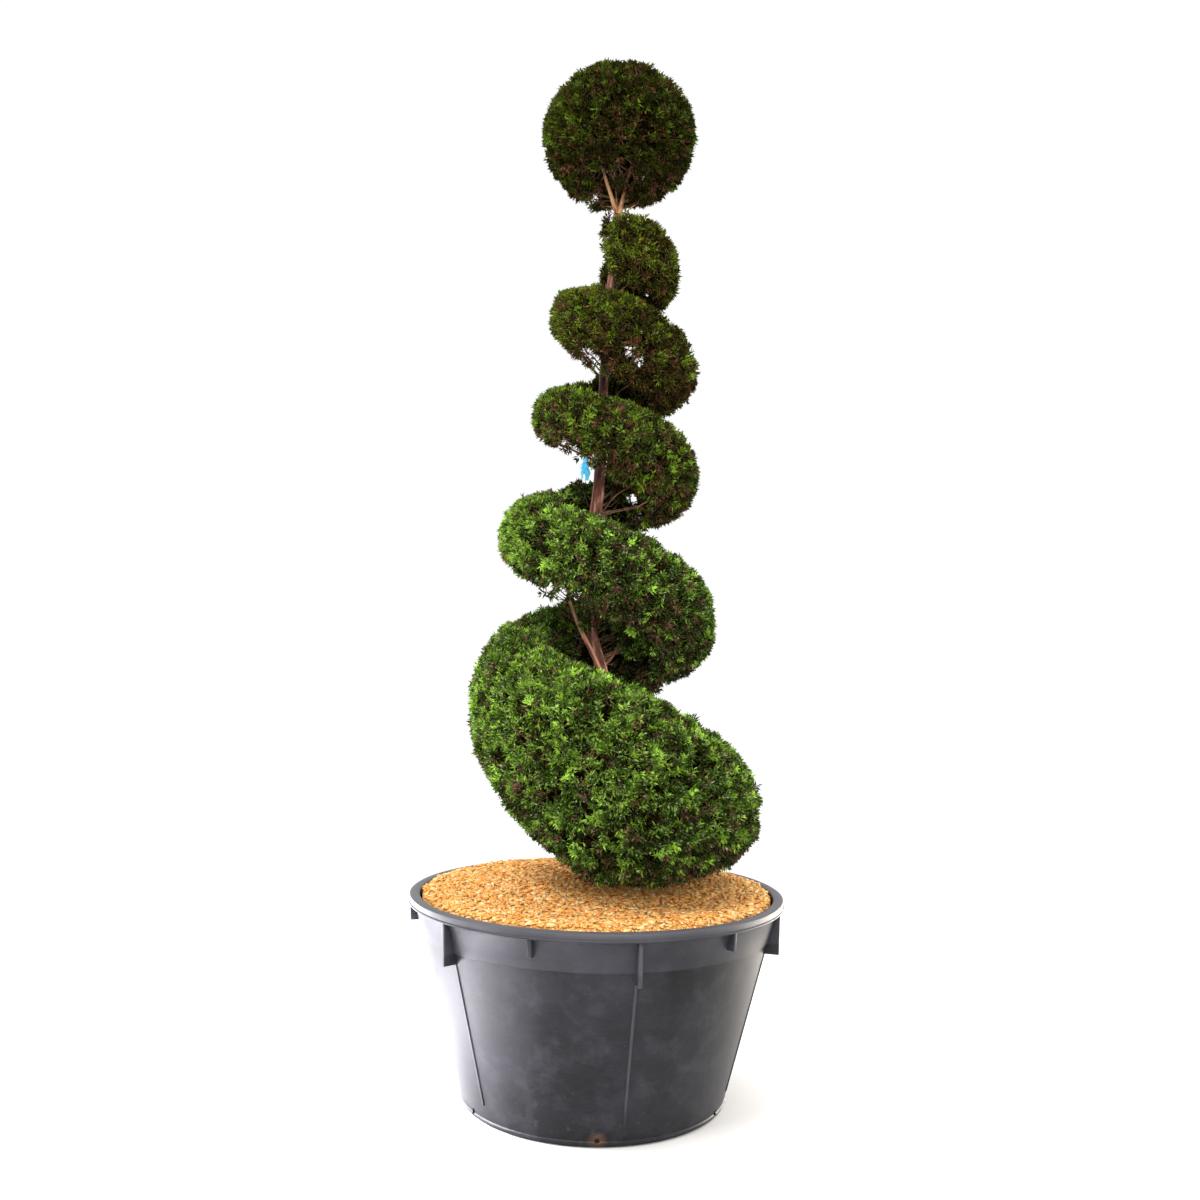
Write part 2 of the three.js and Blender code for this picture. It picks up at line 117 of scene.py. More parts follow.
class Shader:
    """One material, built as expressions around a Principled shader."""

    def __init__(self, name: str) -> None:
        """Starts an empty material.

        Args:
            name: The material's name.
        """
        self.material = bpy.data.materials.new(name)
        self.material.use_nodes = True
        self.tree = self.material.node_tree
        self.tree.nodes.clear()
        output = self.tree.nodes.new("ShaderNodeOutputMaterial")
        self.surface = self.tree.nodes.new("ShaderNodeBsdfPrincipled")
        self.tree.links.new(self.surface.outputs[0], output.inputs["Surface"])

    def node(self, kind: str, settings: dict, inputs: dict, output: int | str = 0) -> Sock:
        """Adds any node.

        Args:
            kind: The node's type.
            settings: Its settings, set before its sockets. "stops" holds a ramp's stops.
            inputs: The value or link of each input socket.
            output: The output socket to go on with.

        Returns:
            That output socket.
        """
        made = self.tree.nodes.new(kind)
        for name, value in settings.items():
            if name == "stops":
                self._set_stops(made.color_ramp, value)
            else:
                setattr(made, name, value)
        for name, value in inputs.items():
            self.feed(made.inputs[name], value)
        return Sock(self, made.outputs[output])

    @staticmethod
    def _set_stops(ramp: bpy.types.ColorRamp, stops: list[tuple[float, Colour]]) -> None:
        """Gives a colour ramp its stops.

        Args:
            ramp: The ramp, which starts with two.
            stops: The place and the colour of each.
        """
        while len(ramp.elements) < len(stops):
            ramp.elements.new(1.0)
        for element, (place, colour) in zip(ramp.elements, stops):
            element.position, element.color = place, (*colour, 1.0)

    def feed(self, socket: bpy.types.NodeSocket, value: Sock | float | tuple) -> None:
        """Links or sets an input socket.

        Args:
            socket: The input socket.
            value: What it gets. A colour may leave out its alpha.
        """
        if isinstance(value, Sock):
            self.tree.links.new(value.socket, socket)
        elif socket.type == "RGBA" and len(value) == 3:
            socket.default_value = (*value, 1.0)
        else:
            socket.default_value = value

    def set(self, **values: Sock | float | tuple) -> None:
        """Feeds the Principled shader's sockets, named with _ in place of spaces."""
        for name, value in values.items():
            self.feed(self.surface.inputs[name.replace("_", " ")], value)

    @cached_property
    def place(self) -> Sock:
        """The point on the object, in metres."""
        return self.node("ShaderNodeTexCoord", {}, {}, "Object")

    def stretched(self, vector: Sock, scale: tuple[float, float, float]) -> Sock:
        """A vector scaled along its axes."""
        return self.node("ShaderNodeMapping", {}, {"Vector": vector, "Scale": scale})

    def noise(self, vector: Sock, scale: float, detail: float = 3.0, rough: float = 0.55) -> Sock:
        """Cloudy noise between 0 and 1."""
        inputs = {"Vector": vector, "Scale": scale, "Detail": detail, "Roughness": rough}
        return self.node("ShaderNodeTexNoise", {}, inputs, 0)

    def cells(self, vector: Sock, scale: float) -> Sock:
        """A random value for each of many small cells."""
        patch = self.node("ShaderNodeTexVoronoi", {}, {"Vector": vector, "Scale": scale}, "Color")
        return self.node("ShaderNodeSeparateColor", {}, {"Color": patch}, 0)

    def mix(self, share: Sock | float, first: Sock | Colour, second: Sock | Colour) -> Sock:
        """A mix of two colours."""
        inputs = {0: share, 6: first, 7: second}
        return self.node("ShaderNodeMix", {"data_type": "RGBA"}, inputs, 2)

    def ramp(self, value: Sock, *stops: tuple[float, Colour]) -> Sock:
        """Turns a value into a colour."""
        return self.node("ShaderNodeValToRGB", {"stops": stops}, {"Fac": value}, "Color")

    def bump(self, height: Sock, distance: float) -> Sock:
        """A bump from a height."""
        inputs = {"Height": height, "Distance": distance}
        return self.node("ShaderNodeBump", {}, inputs, "Normal")


# ---- finishes


@dataclass(frozen=True)
class Finish:
    """A procedural material."""

    name: str

    def make(self) -> bpy.types.Material:
        """Builds the material.

        Returns:
            The material.
        """
        shader = Shader(self.name)
        self.paint(shader)
        return shader.material

    def paint(self, shader: Shader) -> None:
        """Feeds the shader. Each finish has its own way."""
        raise NotImplementedError


@dataclass(frozen=True)
class PlasticFinish(Finish):
    """Black moulded plastic of the tub, dusty and scuffed, with seams painted pale: partly wear, partly a
    painted highlight.
    """

    deep: Colour = (0.003, 0.003, 0.0045)
    dusty: Colour = (0.05, 0.0495, 0.061)
    wear_and_highlight: Colour = (0.09, 0.089, 0.1)
    mud: Colour = (0.16, 0.11, 0.075)
    mud_top: float = 0.22
    collar: tuple[float, float] = (0.52, 0.525)  # heights that a change of tone begins and ends at
    seam_low: tuple[float, float] = (0.06, 0.14)
    seam_high: tuple[float, float] = (0.6, 0.61)
    rim: tuple[float, float] = (0.612, 0.636)
    first_seam: float = 12.0  # degrees from the front
    seam_turn: float = 60.0  # degrees from one seam to the next
    seam_edge: tuple[float, float] = (0.3, 0.65)
    drain: tuple[float, float, float] = (0.015, -0.42, 0.02)  # the front one, which has a rusty ring
    drain_edge: tuple[float, float] = (0.006, 0.034)
    rust: Colour = (0.14, 0.075, 0.04)

    def paint(self, shader: Shader) -> None:
        """Lays dust, scuffs, wear, rust and mud over the plastic, and a painted highlight on the rim and
        the seams.

        Args:
            shader: The material.
        """
        place = shader.place
        axes = {"Vector": place}
        x, y, height = (shader.node("ShaderNodeSeparateXYZ", {}, axes, axis) for axis in "XYZ")
        cloud = shader.noise(place, 3.2, 5.0, 0.6)
        smear = shader.noise(place, 11.0, 5.0, 0.65)
        spatter = shader.noise(place, 34.0, 5.0, 0.7)
        grain = shader.noise(place, 420.0, 2.0)
        scratch = shader.noise(shader.stretched(place, (1.0, 1.0, 14.0)), 26.0, 4.0, 0.7)
        scuff = shader.noise(shader.stretched(place, (1.0, 1.0, 2.2)), 85.0, 5.0, 0.75)
        dust = cloud.band(0.42, 0.75) * 0.4 + smear.band(0.48, 0.72) * 0.35
        dust = dust + scratch.band(0.5, 0.75) * 0.14
        bearing = x.arctan2(-1.0 * y) * math.degrees(1) - self.first_seam
        seam = 1.0 - bearing.pingpong(self.seam_turn / 2).band(*self.seam_edge)
        seam = seam * height.band(*self.seam_low) * (1.0 - height.band(*self.seam_high))
        ends = {0: place, 1: self.drain}
        off = shader.node("ShaderNodeVectorMath", {"operation": "DISTANCE"}, ends, "Value")
        ring = (1.0 - off.band(*self.drain_edge)) * scratch.band(0.3, 0.6)
        colour: Sock | Colour = self.deep
        for share, coat in (
            (dust, self.dusty),
            (0.5 * scuff.band(0.62, 0.72) * cloud.band(0.4, 0.6), self.wear_and_highlight),
            (height.band(*self.collar) * (0.16 + 0.4 * cloud), self.dusty),
            # The seams are painted pale: partly wear, partly a painted highlight along their ridge.
            (seam * (0.15 + 0.55 * smear), self.wear_and_highlight),
            # The rim is painted lighter towards its top: partly wear, partly painted light on its upward
            # face.
            (height.band(*self.rim) * (0.35 + 0.65 * cloud), self.wear_and_highlight),
            (0.8 * ring, self.rust),
            (0.35 * spatter.band(0.6, 0.75) * (1.0 - height.band(0.0, self.mud_top)), self.mud),
        ):
            colour = shader.mix(share, colour, coat)
        shader.set(
            Base_Color=colour,
            Roughness=0.34 + 0.16 * dust + 0.1 * grain,
            Specular_IOR_Level=0.2,
            Normal=shader.bump(0.35 * grain + 1.2 * cloud + 0.4 * scratch, 0.0011),
        )


@dataclass(frozen=True)
class SoilFinish(Finish):
    """Moist compost, from its hollows to its crumbs."""

    dark: Colour = (0.012, 0.008, 0.005)
    light: Colour = (0.06, 0.038, 0.024)

    def paint(self, shader: Shader) -> None:
        """Mottles the compost.

        Args:
            shader: The material.
        """
        crumb = shader.noise(shader.place, 90.0, 6.0, 0.7)
        shader.set(
            Base_Color=shader.ramp(crumb, (0.3, self.dark), (0.7, self.light)),
            Roughness=0.85 + 0.1 * crumb,
            Normal=shader.bump(crumb, 0.004),
        )


@dataclass(frozen=True)
class ChipFinish(Finish):
    """Wood chips of one tone, with a grain and darker ends."""

    dark: Colour
    light: Colour

    def paint(self, shader: Shader) -> None:
        """Varies the wood from chip to chip and along the grain.

        Args:
            shader: The material.
        """
        grain = shader.noise(shader.stretched(shader.place, (1.0, 4.0, 2.0)), 240.0)
        share = 0.65 * shader.cells(shader.place, 70.0) + 0.5 * grain - 0.1
        shader.set(
            Base_Color=shader.mix(share.band(0.0, 1.0), self.dark, self.light),
            Roughness=0.72 + 0.2 * grain,
            Specular_IOR_Level=0.08,
            Normal=shader.bump(grain, 0.0008),
        )


@dataclass(frozen=True)
class LitterFinish(Finish):
    """The bed under the loose chips: packed chips with gaps between them."""

    gap: Colour = (0.7, 0.3, 0.05)
    tones: tuple[tuple[float, Colour], ...] = (
        (0.0, (0.6, 0.27, 0.07)),
        (0.35, (0.66, 0.29, 0.065)),
        (0.75, (0.74, 0.4, 0.12)),
        (1.0, (0.9, 0.62, 0.28)),
    )

    def paint(self, shader: Shader) -> None:
        """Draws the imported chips.

        Args:
            shader: The material.
        """
        tone = shader.cells(shader.place, 95.0)
        edges = {"Vector": shader.place, "Scale": 95.0}
        gap = shader.node("ShaderNodeTexVoronoi", {"feature": "DISTANCE_TO_EDGE"}, edges, "Distance")
        gap = gap.band(0.02, 0.12)
        shader.set(
            Base_Color=shader.mix(gap, self.gap, shader.ramp(tone, *self.tones)),
            Roughness=0.85 - 0.1 * tone,
            Normal=shader.bump(gap + 0.5 * tone, 0.004),
        )


@dataclass(frozen=True)
class BarkFinish(Finish):
    """Flaking yew bark, in strips that follow the limb."""

    deep: Colour
    middle: Colour
    flake: Colour

    def paint(self, shader: Shader) -> None:
        """Runs strips and flakes along the stored grain.

        Args:
            shader: The material.
        """
        along = shader.node("ShaderNodeAttribute", {"attribute_name": "grain"}, {}, "Vector")
        strip = shader.noise(along, 58.0, 5.0, 0.65)
        tone = shader.cells(along, 46.0)
        share = 0.7 * strip.band(0.38, 0.62) + 0.3 * tone
        stops = (0.12, self.deep), (0.5, self.middle), (0.88, self.flake)
        shader.set(
            Base_Color=shader.ramp(share, *stops),
            Roughness=0.62 + 0.25 * strip,
            Normal=shader.bump(strip + 0.5 * tone, 0.006),
        )


@dataclass(frozen=True)
class TwigFinish(Finish):
    """Thin twigs, red-brown to olive."""

    dark: Colour = (0.06, 0.026, 0.014)
    light: Colour = (0.24, 0.125, 0.065)

    def paint(self, shader: Shader) -> None:
        """Mottles the twigs.

        Args:
            shader: The material.
        """
        cloud = shader.noise(shader.place, 55.0, 2.0)
        colour = shader.mix(cloud.band(0.35, 0.65), self.dark, self.light)
        shader.set(Base_Color=colour, Roughness=0.6 + 0.2 * cloud)


@dataclass(frozen=True)
class NeedleFinish(Finish):
    """Needles of one tint."""

    colour: Colour
    pale: Colour  # the colour of the few that show their underside, partly a painted highlight
    turned: float = 0.7  # how pale those few are
    roughness: float = 0.5
    variation: float = 0.4

    def paint(self, shader: Shader) -> None:
        """Varies the tint, and paints some needles pale: partly their undersides, partly a painted
        highlight.

        Args:
            shader: The material.
        """
        speck = shader.noise(shader.place, 62.0, 1.0).band(0.35, 0.65)
        # The pale needles are partly paler undersides and partly a painted highlight on needles that catch
        # the light.
        turned = self.turned * shader.noise(shader.place, 135.0, 1.0).band(0.58, 0.7)
        low, high = (
            tuple(c * (1 + change) for c in self.colour) for change in (-self.variation, self.variation)
        )
        shader.set(
            Base_Color=shader.mix(turned, shader.mix(speck, low, high), self.pale),
            Roughness=self.roughness + 0.1 * speck,
            Specular_IOR_Level=0.03,
        )


@dataclass(frozen=True)
class TapeFinish(Finish):
    """Thin glossy plastic tape, partly lit by painted light: it shines with its own colour to stay bright
    in the foliage's shade.
    """

    colour: Colour = (0.13, 0.64, 0.95)
    painted_glow: float = 0.3

    def paint(self, shader: Shader) -> None:
        """Creases the tape.

        Args:
            shader: The material.
        """
        crease = shader.noise(shader.place, 190.0, 2.0)
        pale = tuple(min(c * 1.25 + 0.03, 1.0) for c in self.colour)
        shader.set(
            Base_Color=shader.mix(crease.band(0.3, 0.7), self.colour, pale),
            Roughness=0.28 + 0.2 * crease,
            # Painted light: the tape gives off its own colour, standing in for light that the foliage
            # shades from it.
            Emission_Color=self.colour,
            Emission_Strength=self.painted_glow,
            Normal=shader.bump(crease, 0.0006),
        )


@dataclass(frozen=True)
class FloorFinish(Finish):
    """Plain pale studio floor."""

    colour: Colour = (0.6, 0.6, 0.6)

    def paint(self, shader: Shader) -> None:
        """Sets the one plain colour."""
        shader.set(Base_Color=self.colour, Roughness=0.8)


# ---- mesh helpers


def activate(piece: Piece | None) -> Piece | None:
    """Selects one piece alone, or none, because an operator acts on all that is selected.

    Args:
        piece: The piece, which also becomes the active one.

    Returns:
        The piece.
    """
    for thing in bpy.context.selected_objects:
        thing.select_set(False)
    if piece:
        piece.select_set(True)
        bpy.context.view_layer.objects.active = piece
    return piece


def bake_modifier(piece: Piece, kind: str, **settings: object) -> None:
    """Adds a modifier to a piece and applies it.

    Args:
        piece: The piece.
        kind: The modifier's type.
        settings: The modifier's settings.
    """
    activate(piece)
    bpy.ops.object.modifier_add(type=kind)
    modifier = piece.modifiers[-1]
    for name, value in settings.items():
        setattr(modifier, name, value)
    bpy.ops.object.modifier_apply(modifier=modifier.name)


def settle(piece: Piece) -> Piece:
    """Moves a piece's place, turn and scale into its mesh.

    Args:
        piece: The piece.

    Returns:
        The piece.
    """
    activate(piece)
    bpy.ops.object.transform_apply(location=True, rotation=True, scale=True)
    return piece


def primitive(operator: Callable[..., set[str]], **settings: object) -> Piece:
    """Adds a primitive to shape further, with nothing else selected.

    Args:
        operator: The operator that adds it.
        settings: The operator's settings.

    Returns:
        The new piece, settled.
    """
    activate(None)
    operator(**settings)
    return settle(bpy.context.active_object)


def extruded(disc: Piece, steps: Iterable[tuple[tuple, tuple, tuple]]) -> Piece:
    """Extrudes a disc step by step into a closed solid.

    Args:
        disc: The disc.
        steps: Each step's move, its growth along each axis and the centre of that growth.

    Returns:
        The solid.
    """
    bpy.ops.object.mode_set(mode="EDIT")
    bpy.ops.mesh.select_all(action="SELECT")
    for move, growth, centre in steps:
        bpy.ops.mesh.extrude_region_move(TRANSFORM_OT_translate={"value": move})
        bpy.ops.transform.resize(value=growth, center_override=centre)
    bpy.ops.mesh.select_all(action="SELECT")
    bpy.ops.mesh.normals_make_consistent(inside=False)
    bpy.ops.object.mode_set(mode="OBJECT")
    return disc


def smooth(piece: Piece, degrees: float = 180.0) -> None:
    """Smooths the shading over edges that turn less than an angle.

    Args:
        piece: The piece.
        degrees: That angle. All of it is smooth at 180.
    """
    activate(piece)
    if degrees < 180:
        bpy.ops.object.shade_smooth_by_angle(angle=math.radians(degrees))
    else:
        bpy.ops.object.shade_smooth()


def joined(pieces: list[Piece], name: str) -> Piece:
    """Joins pieces into the first one.

    Args:
        pieces: The pieces.
        name: The name of what they become.

    Returns:
        The joined piece.
    """
    activate(pieces[0])
    for piece in pieces[1:]:
        piece.select_set(True)
    if len(pieces) > 1:
        bpy.ops.object.join()
    pieces[0].name = pieces[0].data.name = name
    return pieces[0]


def dress(piece: Piece, finish: Finish, slot: str, *nodes: str) -> None:
    """Gives a finished piece its material and its body, and hides the CAD nodes it stands for.

    Args:
        piece: The piece.
        finish: Its finish.
        slot: A material slot's name; not used.
        nodes: The CAD nodes that it replaces.
    """
    piece.data.materials.clear()
    piece.data.materials.append(finish.make())
    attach(piece, BODY)
    if nodes:
        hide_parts(*nodes)


def added(name: str, data: bpy.types.ID) -> Piece:
    """Adds an object to the scene.

    Args:
        name: Its name.
        data: Its mesh, light or camera.

    Returns:
        The object.
    """
    thing = bpy.data.objects.new(name, data)
    bpy.context.scene.collection.objects.link(thing)
    return thing


def merged_copy(node: str, name: str) -> Piece:
    """Copies a CAD node and merges its loose triangles.

    Args:
        node: The node.
        name: The name of the copy.

    Returns:
        The copy.
    """
    copy = added(name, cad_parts[node].data.copy())
    bake_modifier(copy, "WELD", merge_threshold=1e-5)
    return copy


def even_skin(piece: Piece, voxel: float, passes: int) -> None:
    """Makes a piece one even skin of small faces, a little smoothed.

    Args:
        piece: The piece.
        voxel: The size of the faces.
        passes: How many times it is smoothed.
    """
    bake_modifier(piece, "REMESH", mode="VOXEL", voxel_size=voxel)
    bake_modifier(piece, "SMOOTH", factor=0.5, iterations=passes)


def from_arrays(name: str, points: np.ndarray, faces: np.ndarray) -> Piece:
    """Makes a piece from arrays, for things that are many and small.

    Args:
        name: The piece's name.
        points: Corners, one row each.
        faces: Corner numbers, one row for each face, all with as many corners.

    Returns:
        The piece.
    """
    mesh = bpy.data.meshes.new(name)
    mesh.vertices.add(len(points))
    mesh.vertices.foreach_set("co", points.astype(np.float32).ravel())
    mesh.loops.add(faces.size)
    mesh.loops.foreach_set("vertex_index", faces.astype(np.int32).ravel())
    mesh.polygons.add(len(faces))
    starts = np.arange(0, faces.size, faces.shape[1], dtype=np.int32)
    mesh.polygons.foreach_set("loop_start", starts)
    mesh.update(calc_edges=True)
    return added(name, mesh)


def many(items: np.ndarray, faces: np.ndarray) -> tuple[np.ndarray, np.ndarray]:
    """Lists the corners and faces of many small things of one kind.

    Args:
        items: The corners of each thing.
        faces: One thing's faces, as corner numbers.

    Returns:
        All corners and all faces.
    """
    shifts = (np.arange(len(items)) * items.shape[1])[:, None, None]
    return items.reshape(-1, 3), (shifts + faces[None]).reshape(-1, faces.shape[1])


def corners_of(piece: Piece, what: str = "co") -> np.ndarray:
    """Reads the corners of a piece.

    Args:
        piece: The piece.
        what: "co" for their places, "normal" for their normals.

    Returns:
        One row for each corner.
    """
    points = np.zeros(len(piece.data.vertices) * 3)
    piece.data.vertices.foreach_get(what, points)
    return points.reshape(-1, 3)


def move_corners(piece: Piece, points: np.ndarray) -> None:
    """Puts the corners of a piece in new places."""
    piece.data.vertices.foreach_set("co", points.ravel())
    piece.data.update()


def triangles_of(piece: Piece) -> np.ndarray:
    """Reads the triangles of a piece.

    Args:
        piece: The piece.

    Returns:
        Corner numbers, one row for each triangle.
    """
    piece.data.calc_loop_triangles()
    faces = np.zeros(len(piece.data.loop_triangles) * 3, dtype=np.int64)
    piece.data.loop_triangles.foreach_get("vertices", faces)
    return faces.reshape(-1, 3)


def unit(vectors: np.ndarray) -> np.ndarray:
    """Vectors scaled to length 1."""
    return vectors / np.maximum(np.linalg.norm(vectors, axis=-1, keepdims=True), 1e-9)


def smoothstep(value: np.ndarray, low: float, high: float) -> np.ndarray:
    """Runs smoothly from 0 at low to 1 at high."""
    share = np.clip((value - low) / (high - low), 0, 1)
    return share * share * (3 - 2 * share)


def lumps(points: np.ndarray) -> np.ndarray:
    """Smooth random values, one for each point."""
    return np.array([noise.noise(Vector(row)) for row in points])


def kd_tree(points: np.ndarray) -> KDTree:
    """Sorts points into a tree to search.

    Args:
        points: Points, one row each.

    Returns:
        The tree.
    """
    tree = KDTree(len(points))
    for i, point in enumerate(points):
        tree.insert(point, i)
    tree.balance()
    return tree


def nearest(places: np.ndarray, points: np.ndarray) -> np.ndarray:
    """For each point, the nearest of the places."""
    tree = kd_tree(places)
    return places[[tree.find(point)[1] for point in points]]


# ---- limbs


@dataclass
class Path:
    """A limb's centre line and its radius at each point."""

    points: np.ndarray
    radii: np.ndarray

    def around(self, points: np.ndarray) -> tuple[np.ndarray, np.ndarray, np.ndarray]:
        """Finds the place on the centre line that is nearest to each point.

        Args:
            points: Points, one row each.

        Returns:
            How far along the limb each place is, the places, and the limb's radius there.
        """
        starts, steps = self.points[:-1, None], np.diff(self.points, axis=0)[:, None]
        lengths = np.linalg.norm(steps, axis=2)
        share = np.clip(((points - starts) * steps).sum(2) / lengths**2, 0, 1)
        near = starts + share[..., None] * steps
        along = np.cumsum(lengths, axis=0) - (1 - share) * lengths
        radius = self.radii[:-1, None] + share * np.diff(self.radii)[:, None]
        pick = np.linalg.norm(points - near, axis=2).argmin(0), np.arange(len(points))
        return along[pick], near[pick], radius[pick]

    def solid(self, sides: int) -> Piece:
        """Models the limb as by hand: a disc at its foot, extruded from point to point.

        Args:
            sides: The number of sides.

        Returns:
            The limb, closed at both ends.
        """
        cage = 1 / (2 / 3 + math.cos(2 * math.pi / sides) / 3)  # what subdividing will take off
        disc = primitive(
            bpy.ops.mesh.primitive_circle_add,
            vertices=sides,
            radius=float(self.radii[0] * cage),
            fill_type="NGON",
            location=self.points[0].tolist(),
            rotation=Vector(self.points[-1] - self.points[0]).to_track_quat("Z", "Y").to_euler(),
        )
        moves = np.diff(self.points, axis=0).tolist()
        growth = [(grow,) * 3 for grow in (self.radii[1:] / self.radii[:-1]).tolist()]
        return extruded(disc, zip(moves, growth, self.points[1:].tolist()))


def sections(piece: Piece, start: np.ndarray, way: np.ndarray, stops: np.ndarray) -> Path:
    """Cuts a CAD limb across at several places and reads its centre and radius there.

    Args:
        piece: The CAD node's object.
        start: A point on the line that the cuts are counted along.
        way: That line's direction.
        stops: The distances along it at which to cut.

    Returns:
        The limb's path.
    """
    points, faces = corners_of(piece), triangles_of(piece)
    edges = np.vstack([faces[:, [0, 1]], faces[:, [1, 2]], faces[:, [2, 0]]])
    height = (points - start) @ way
    centres, radii = [], []
    for stop in stops:
        first, second = height[edges[:, 0]] - stop, height[edges[:, 1]] - stop
        cut = first * second < 0
        share = first[cut] / (first[cut] - second[cut])
        a, b = points[edges[cut, 0]], points[edges[cut, 1]]
        ring = a + (b - a) * share[:, None]
        centres.append((ring.min(0) + ring.max(0)) / 2)
        radii.append(np.linalg.norm(ring - centres[-1], axis=1).mean())
    return Path(np.array(centres), np.array(radii))


@dataclass
class Limbs:
    """The trunk, the second stem and the boughs, as one skin of bark each."""

    trunk_sides: int = 20
    bough_sides: int = 8
    trunk_stops: int = 44
    bough_stops: int = 5
    flute: float = 0.07  # depth of the trunk's flutes, as a share of its radius
    flake: float = 0.0016  # height of the bark's flakes
    full_flakes: float = 0.012  # the radius from which they reach that height
    collar: float = 1.5  # how much wider a bough is where it leaves the trunk
    slender: tuple[float, float] = (0.5, 0.42)  # a bough's thickness beside its CAD solid
    slender_at: tuple[float, float] = (0.7, 2.2)  # the heights of those two
    special: dict[str, float] = field(default_factory=lambda: {  # the same for these
        "bough_ball_left": 1.0, "bough_ball_right": 0.95, "bough_ball_front": 0.12,
        "bough_ball_outer_left": 0.22, "bough_ball_outer_right": 0.22, "bough_ball_behind": 0.3,
        "second_stem": 0.66,
    })
    foot: float = 0.68  # the same for the trunk below its first bare stretch
    foot_top: tuple[float, float] = (1.6, 1.9)  # where it gets its full thickness back
    fork_swell: float = 1.3  # how much wider the boughs of the ball are at their fork
    fork: tuple[float, float] = (2.88, 2.94)  # where the trunk widens to it
    crown_run: float = 0.12  # how far the boughs of the ball run on inside it
    trunk_bark: BarkFinish = BarkFinish(
        "bark_trunk", (0.035, 0.008, 0.005), (0.21, 0.068, 0.04), (0.62, 0.36, 0.25)
    )
    bough_barks: tuple[BarkFinish, ...] = (
        BarkFinish("bark_bough", (0.05, 0.012, 0.008), (0.24, 0.075, 0.04), (0.58, 0.29, 0.17)),
        BarkFinish("bark_fork", (0.12, 0.045, 0.018), (0.46, 0.22, 0.095), (0.85, 0.5, 0.25)),
    )
    trunk_path: Path = field(init=False)
    tips: dict[str, np.ndarray] = field(default_factory=dict)

    def axis(self, heights: np.ndarray) -> np.ndarray:
        """The trunk's centre at these heights."""
        x, y, z = self.trunk_path.points.T
        clipped = np.clip(heights, z[0], z[-1])
        return np.stack([np.interp(clipped, z, x), np.interp(clipped, z, y), heights], axis=1)

    def _read_trunk(self) -> None:
        """Reads the trunk's path from its CAD node."""
        low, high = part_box("trunk")
        stops = np.linspace(low.z + 0.001, high.z - 0.001, self.trunk_stops)
        path = sections(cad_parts["trunk"], np.zeros(3), UP, stops)
        height = path.points[:, 2]
        path.radii *= self.foot + (1 - self.foot) * smoothstep(height, *self.foot_top)
        path.radii *= 1 + (self.fork_swell - 1) * smoothstep(height, *self.fork)
        self.trunk_path = path

    def _read_bough(self, name: str) -> Path:
        """Reads a bough's path from its CAD node, and runs its foot on into the trunk.

        Args:
            name: The CAD node.

        Returns:
            The path.
        """
        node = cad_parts[name]
        in_ball = name.startswith("bough_ball")
        points = corners_of(node)
        out = np.linalg.norm((points - self.axis(points[:, 2]))[:, :2], axis=1)
        if in_ball or name == "second_stem":
            out = points[:, 2]
        order = np.argsort(out)
        share = max(len(order) // 6, 3)
        foot, tip = points[order[:share]].mean(0), points[order[-share:]].mean(0)
        way = unit(tip - foot)
        spread = (points - foot) @ way
        inset = 0.06 * (spread.max() - spread.min())
        stops = np.linspace(spread.min() + inset, spread.max() - inset, self.bough_stops)
        path = sections(node, foot, way, stops)
        root = self.axis(path.points[:1, 2] - 1.2 * path.radii[0])[0]
        if in_ball:
            root = self.trunk_path.points[-1] - 0.012 * UP
        path.points = np.vstack([root, path.points])
        slender = self.special.get(name, float(np.interp(foot[2], self.slender_at, self.slender)))
        path.radii = np.append(path.radii[0] * self.collar, path.radii) * slender
        if in_ball:
            path.radii[:2] *= self.fork_swell
            onward = path.points[-1] + self.crown_run * unit(path.points[-1] - path.points[-2])
            path.points = np.vstack([path.points, onward])
            path.radii = np.append(path.radii, path.radii[-1] * 0.6)
        return path

    def _skin(self, path: Path, sides: int, seed: float, flute: float) -> Piece:
        """Models one limb with flutes and flakes, and stores the run of its grain.

        Args:
            path: The limb's path.
            sides: The number of sides before it is subdivided.
            seed: Sets this limb's own pattern.
            flute: Depth of the flutes, as a share of the radius.

        Returns:
            The limb.
        """
        limb = path.solid(sides)
        bake_modifier(limb, "SUBSURF", levels=2, render_levels=2)
        points, normals = corners_of(limb), corners_of(limb, "normal")
        along, centre, radius = path.around(points)
        way = unit(path.points[-1] - path.points[0])
        side = unit(np.cross(way, np.array([0.13, 0.98, 0.11])))
        off = points - centre
        angle = np.arctan2(off @ np.cross(way, side), off @ side)
        wander = 1.1 * np.sin(along * 3.1 + seed) + 0.5 * np.sin(along * 8.3 + 2 * seed)
        ridges = 0.6 * np.cos(5 * angle + wander) + 0.4 * np.cos(8 * angle - 1.7 * wander + seed)
        grain = np.stack([radius * np.cos(angle), radius * np.sin(angle), along * 0.14], axis=1) + seed
        flakes = lumps(grain * 110) + 0.5 * lumps(grain * 300)
        height = flute * radius * ridges
        height += self.flake * flakes * np.minimum(radius / self.full_flakes, 1)
        move_corners(limb, points + normals * height[:, None])
        store = limb.data.attributes.new("grain", "FLOAT_VECTOR", "POINT")
        store.data.foreach_set("vector", grain.astype(np.float32).ravel())
        smooth(limb)
        return limb

    def build(self) -> None:
        """Models the trunk and the boughs."""
        self._read_trunk()
        trunk = self._skin(self.trunk_path, self.trunk_sides, 0.37, self.flute)
        dress(joined([trunk], "trunk_bark"), self.trunk_bark, "bark", "trunk")
        names = sorted(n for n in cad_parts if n.startswith("bough") or n == "second_stem")
        boughs = {}
        for i, name in enumerate(names):
            path = self._read_bough(name)
            self.tips[name] = path.points[-1]
            boughs[name] = self._skin(path, self.bough_sides, 1.1 + 0.71 * i, self.flute / 2)
        for finish, in_ball in zip(self.bough_barks, (False, True)):
            own = {n: b for n, b in boughs.items() if n.startswith("bough_ball") == in_ball}
            dress(joined(list(own.values()), finish.name), finish, "bark", *own)


# ---- tub


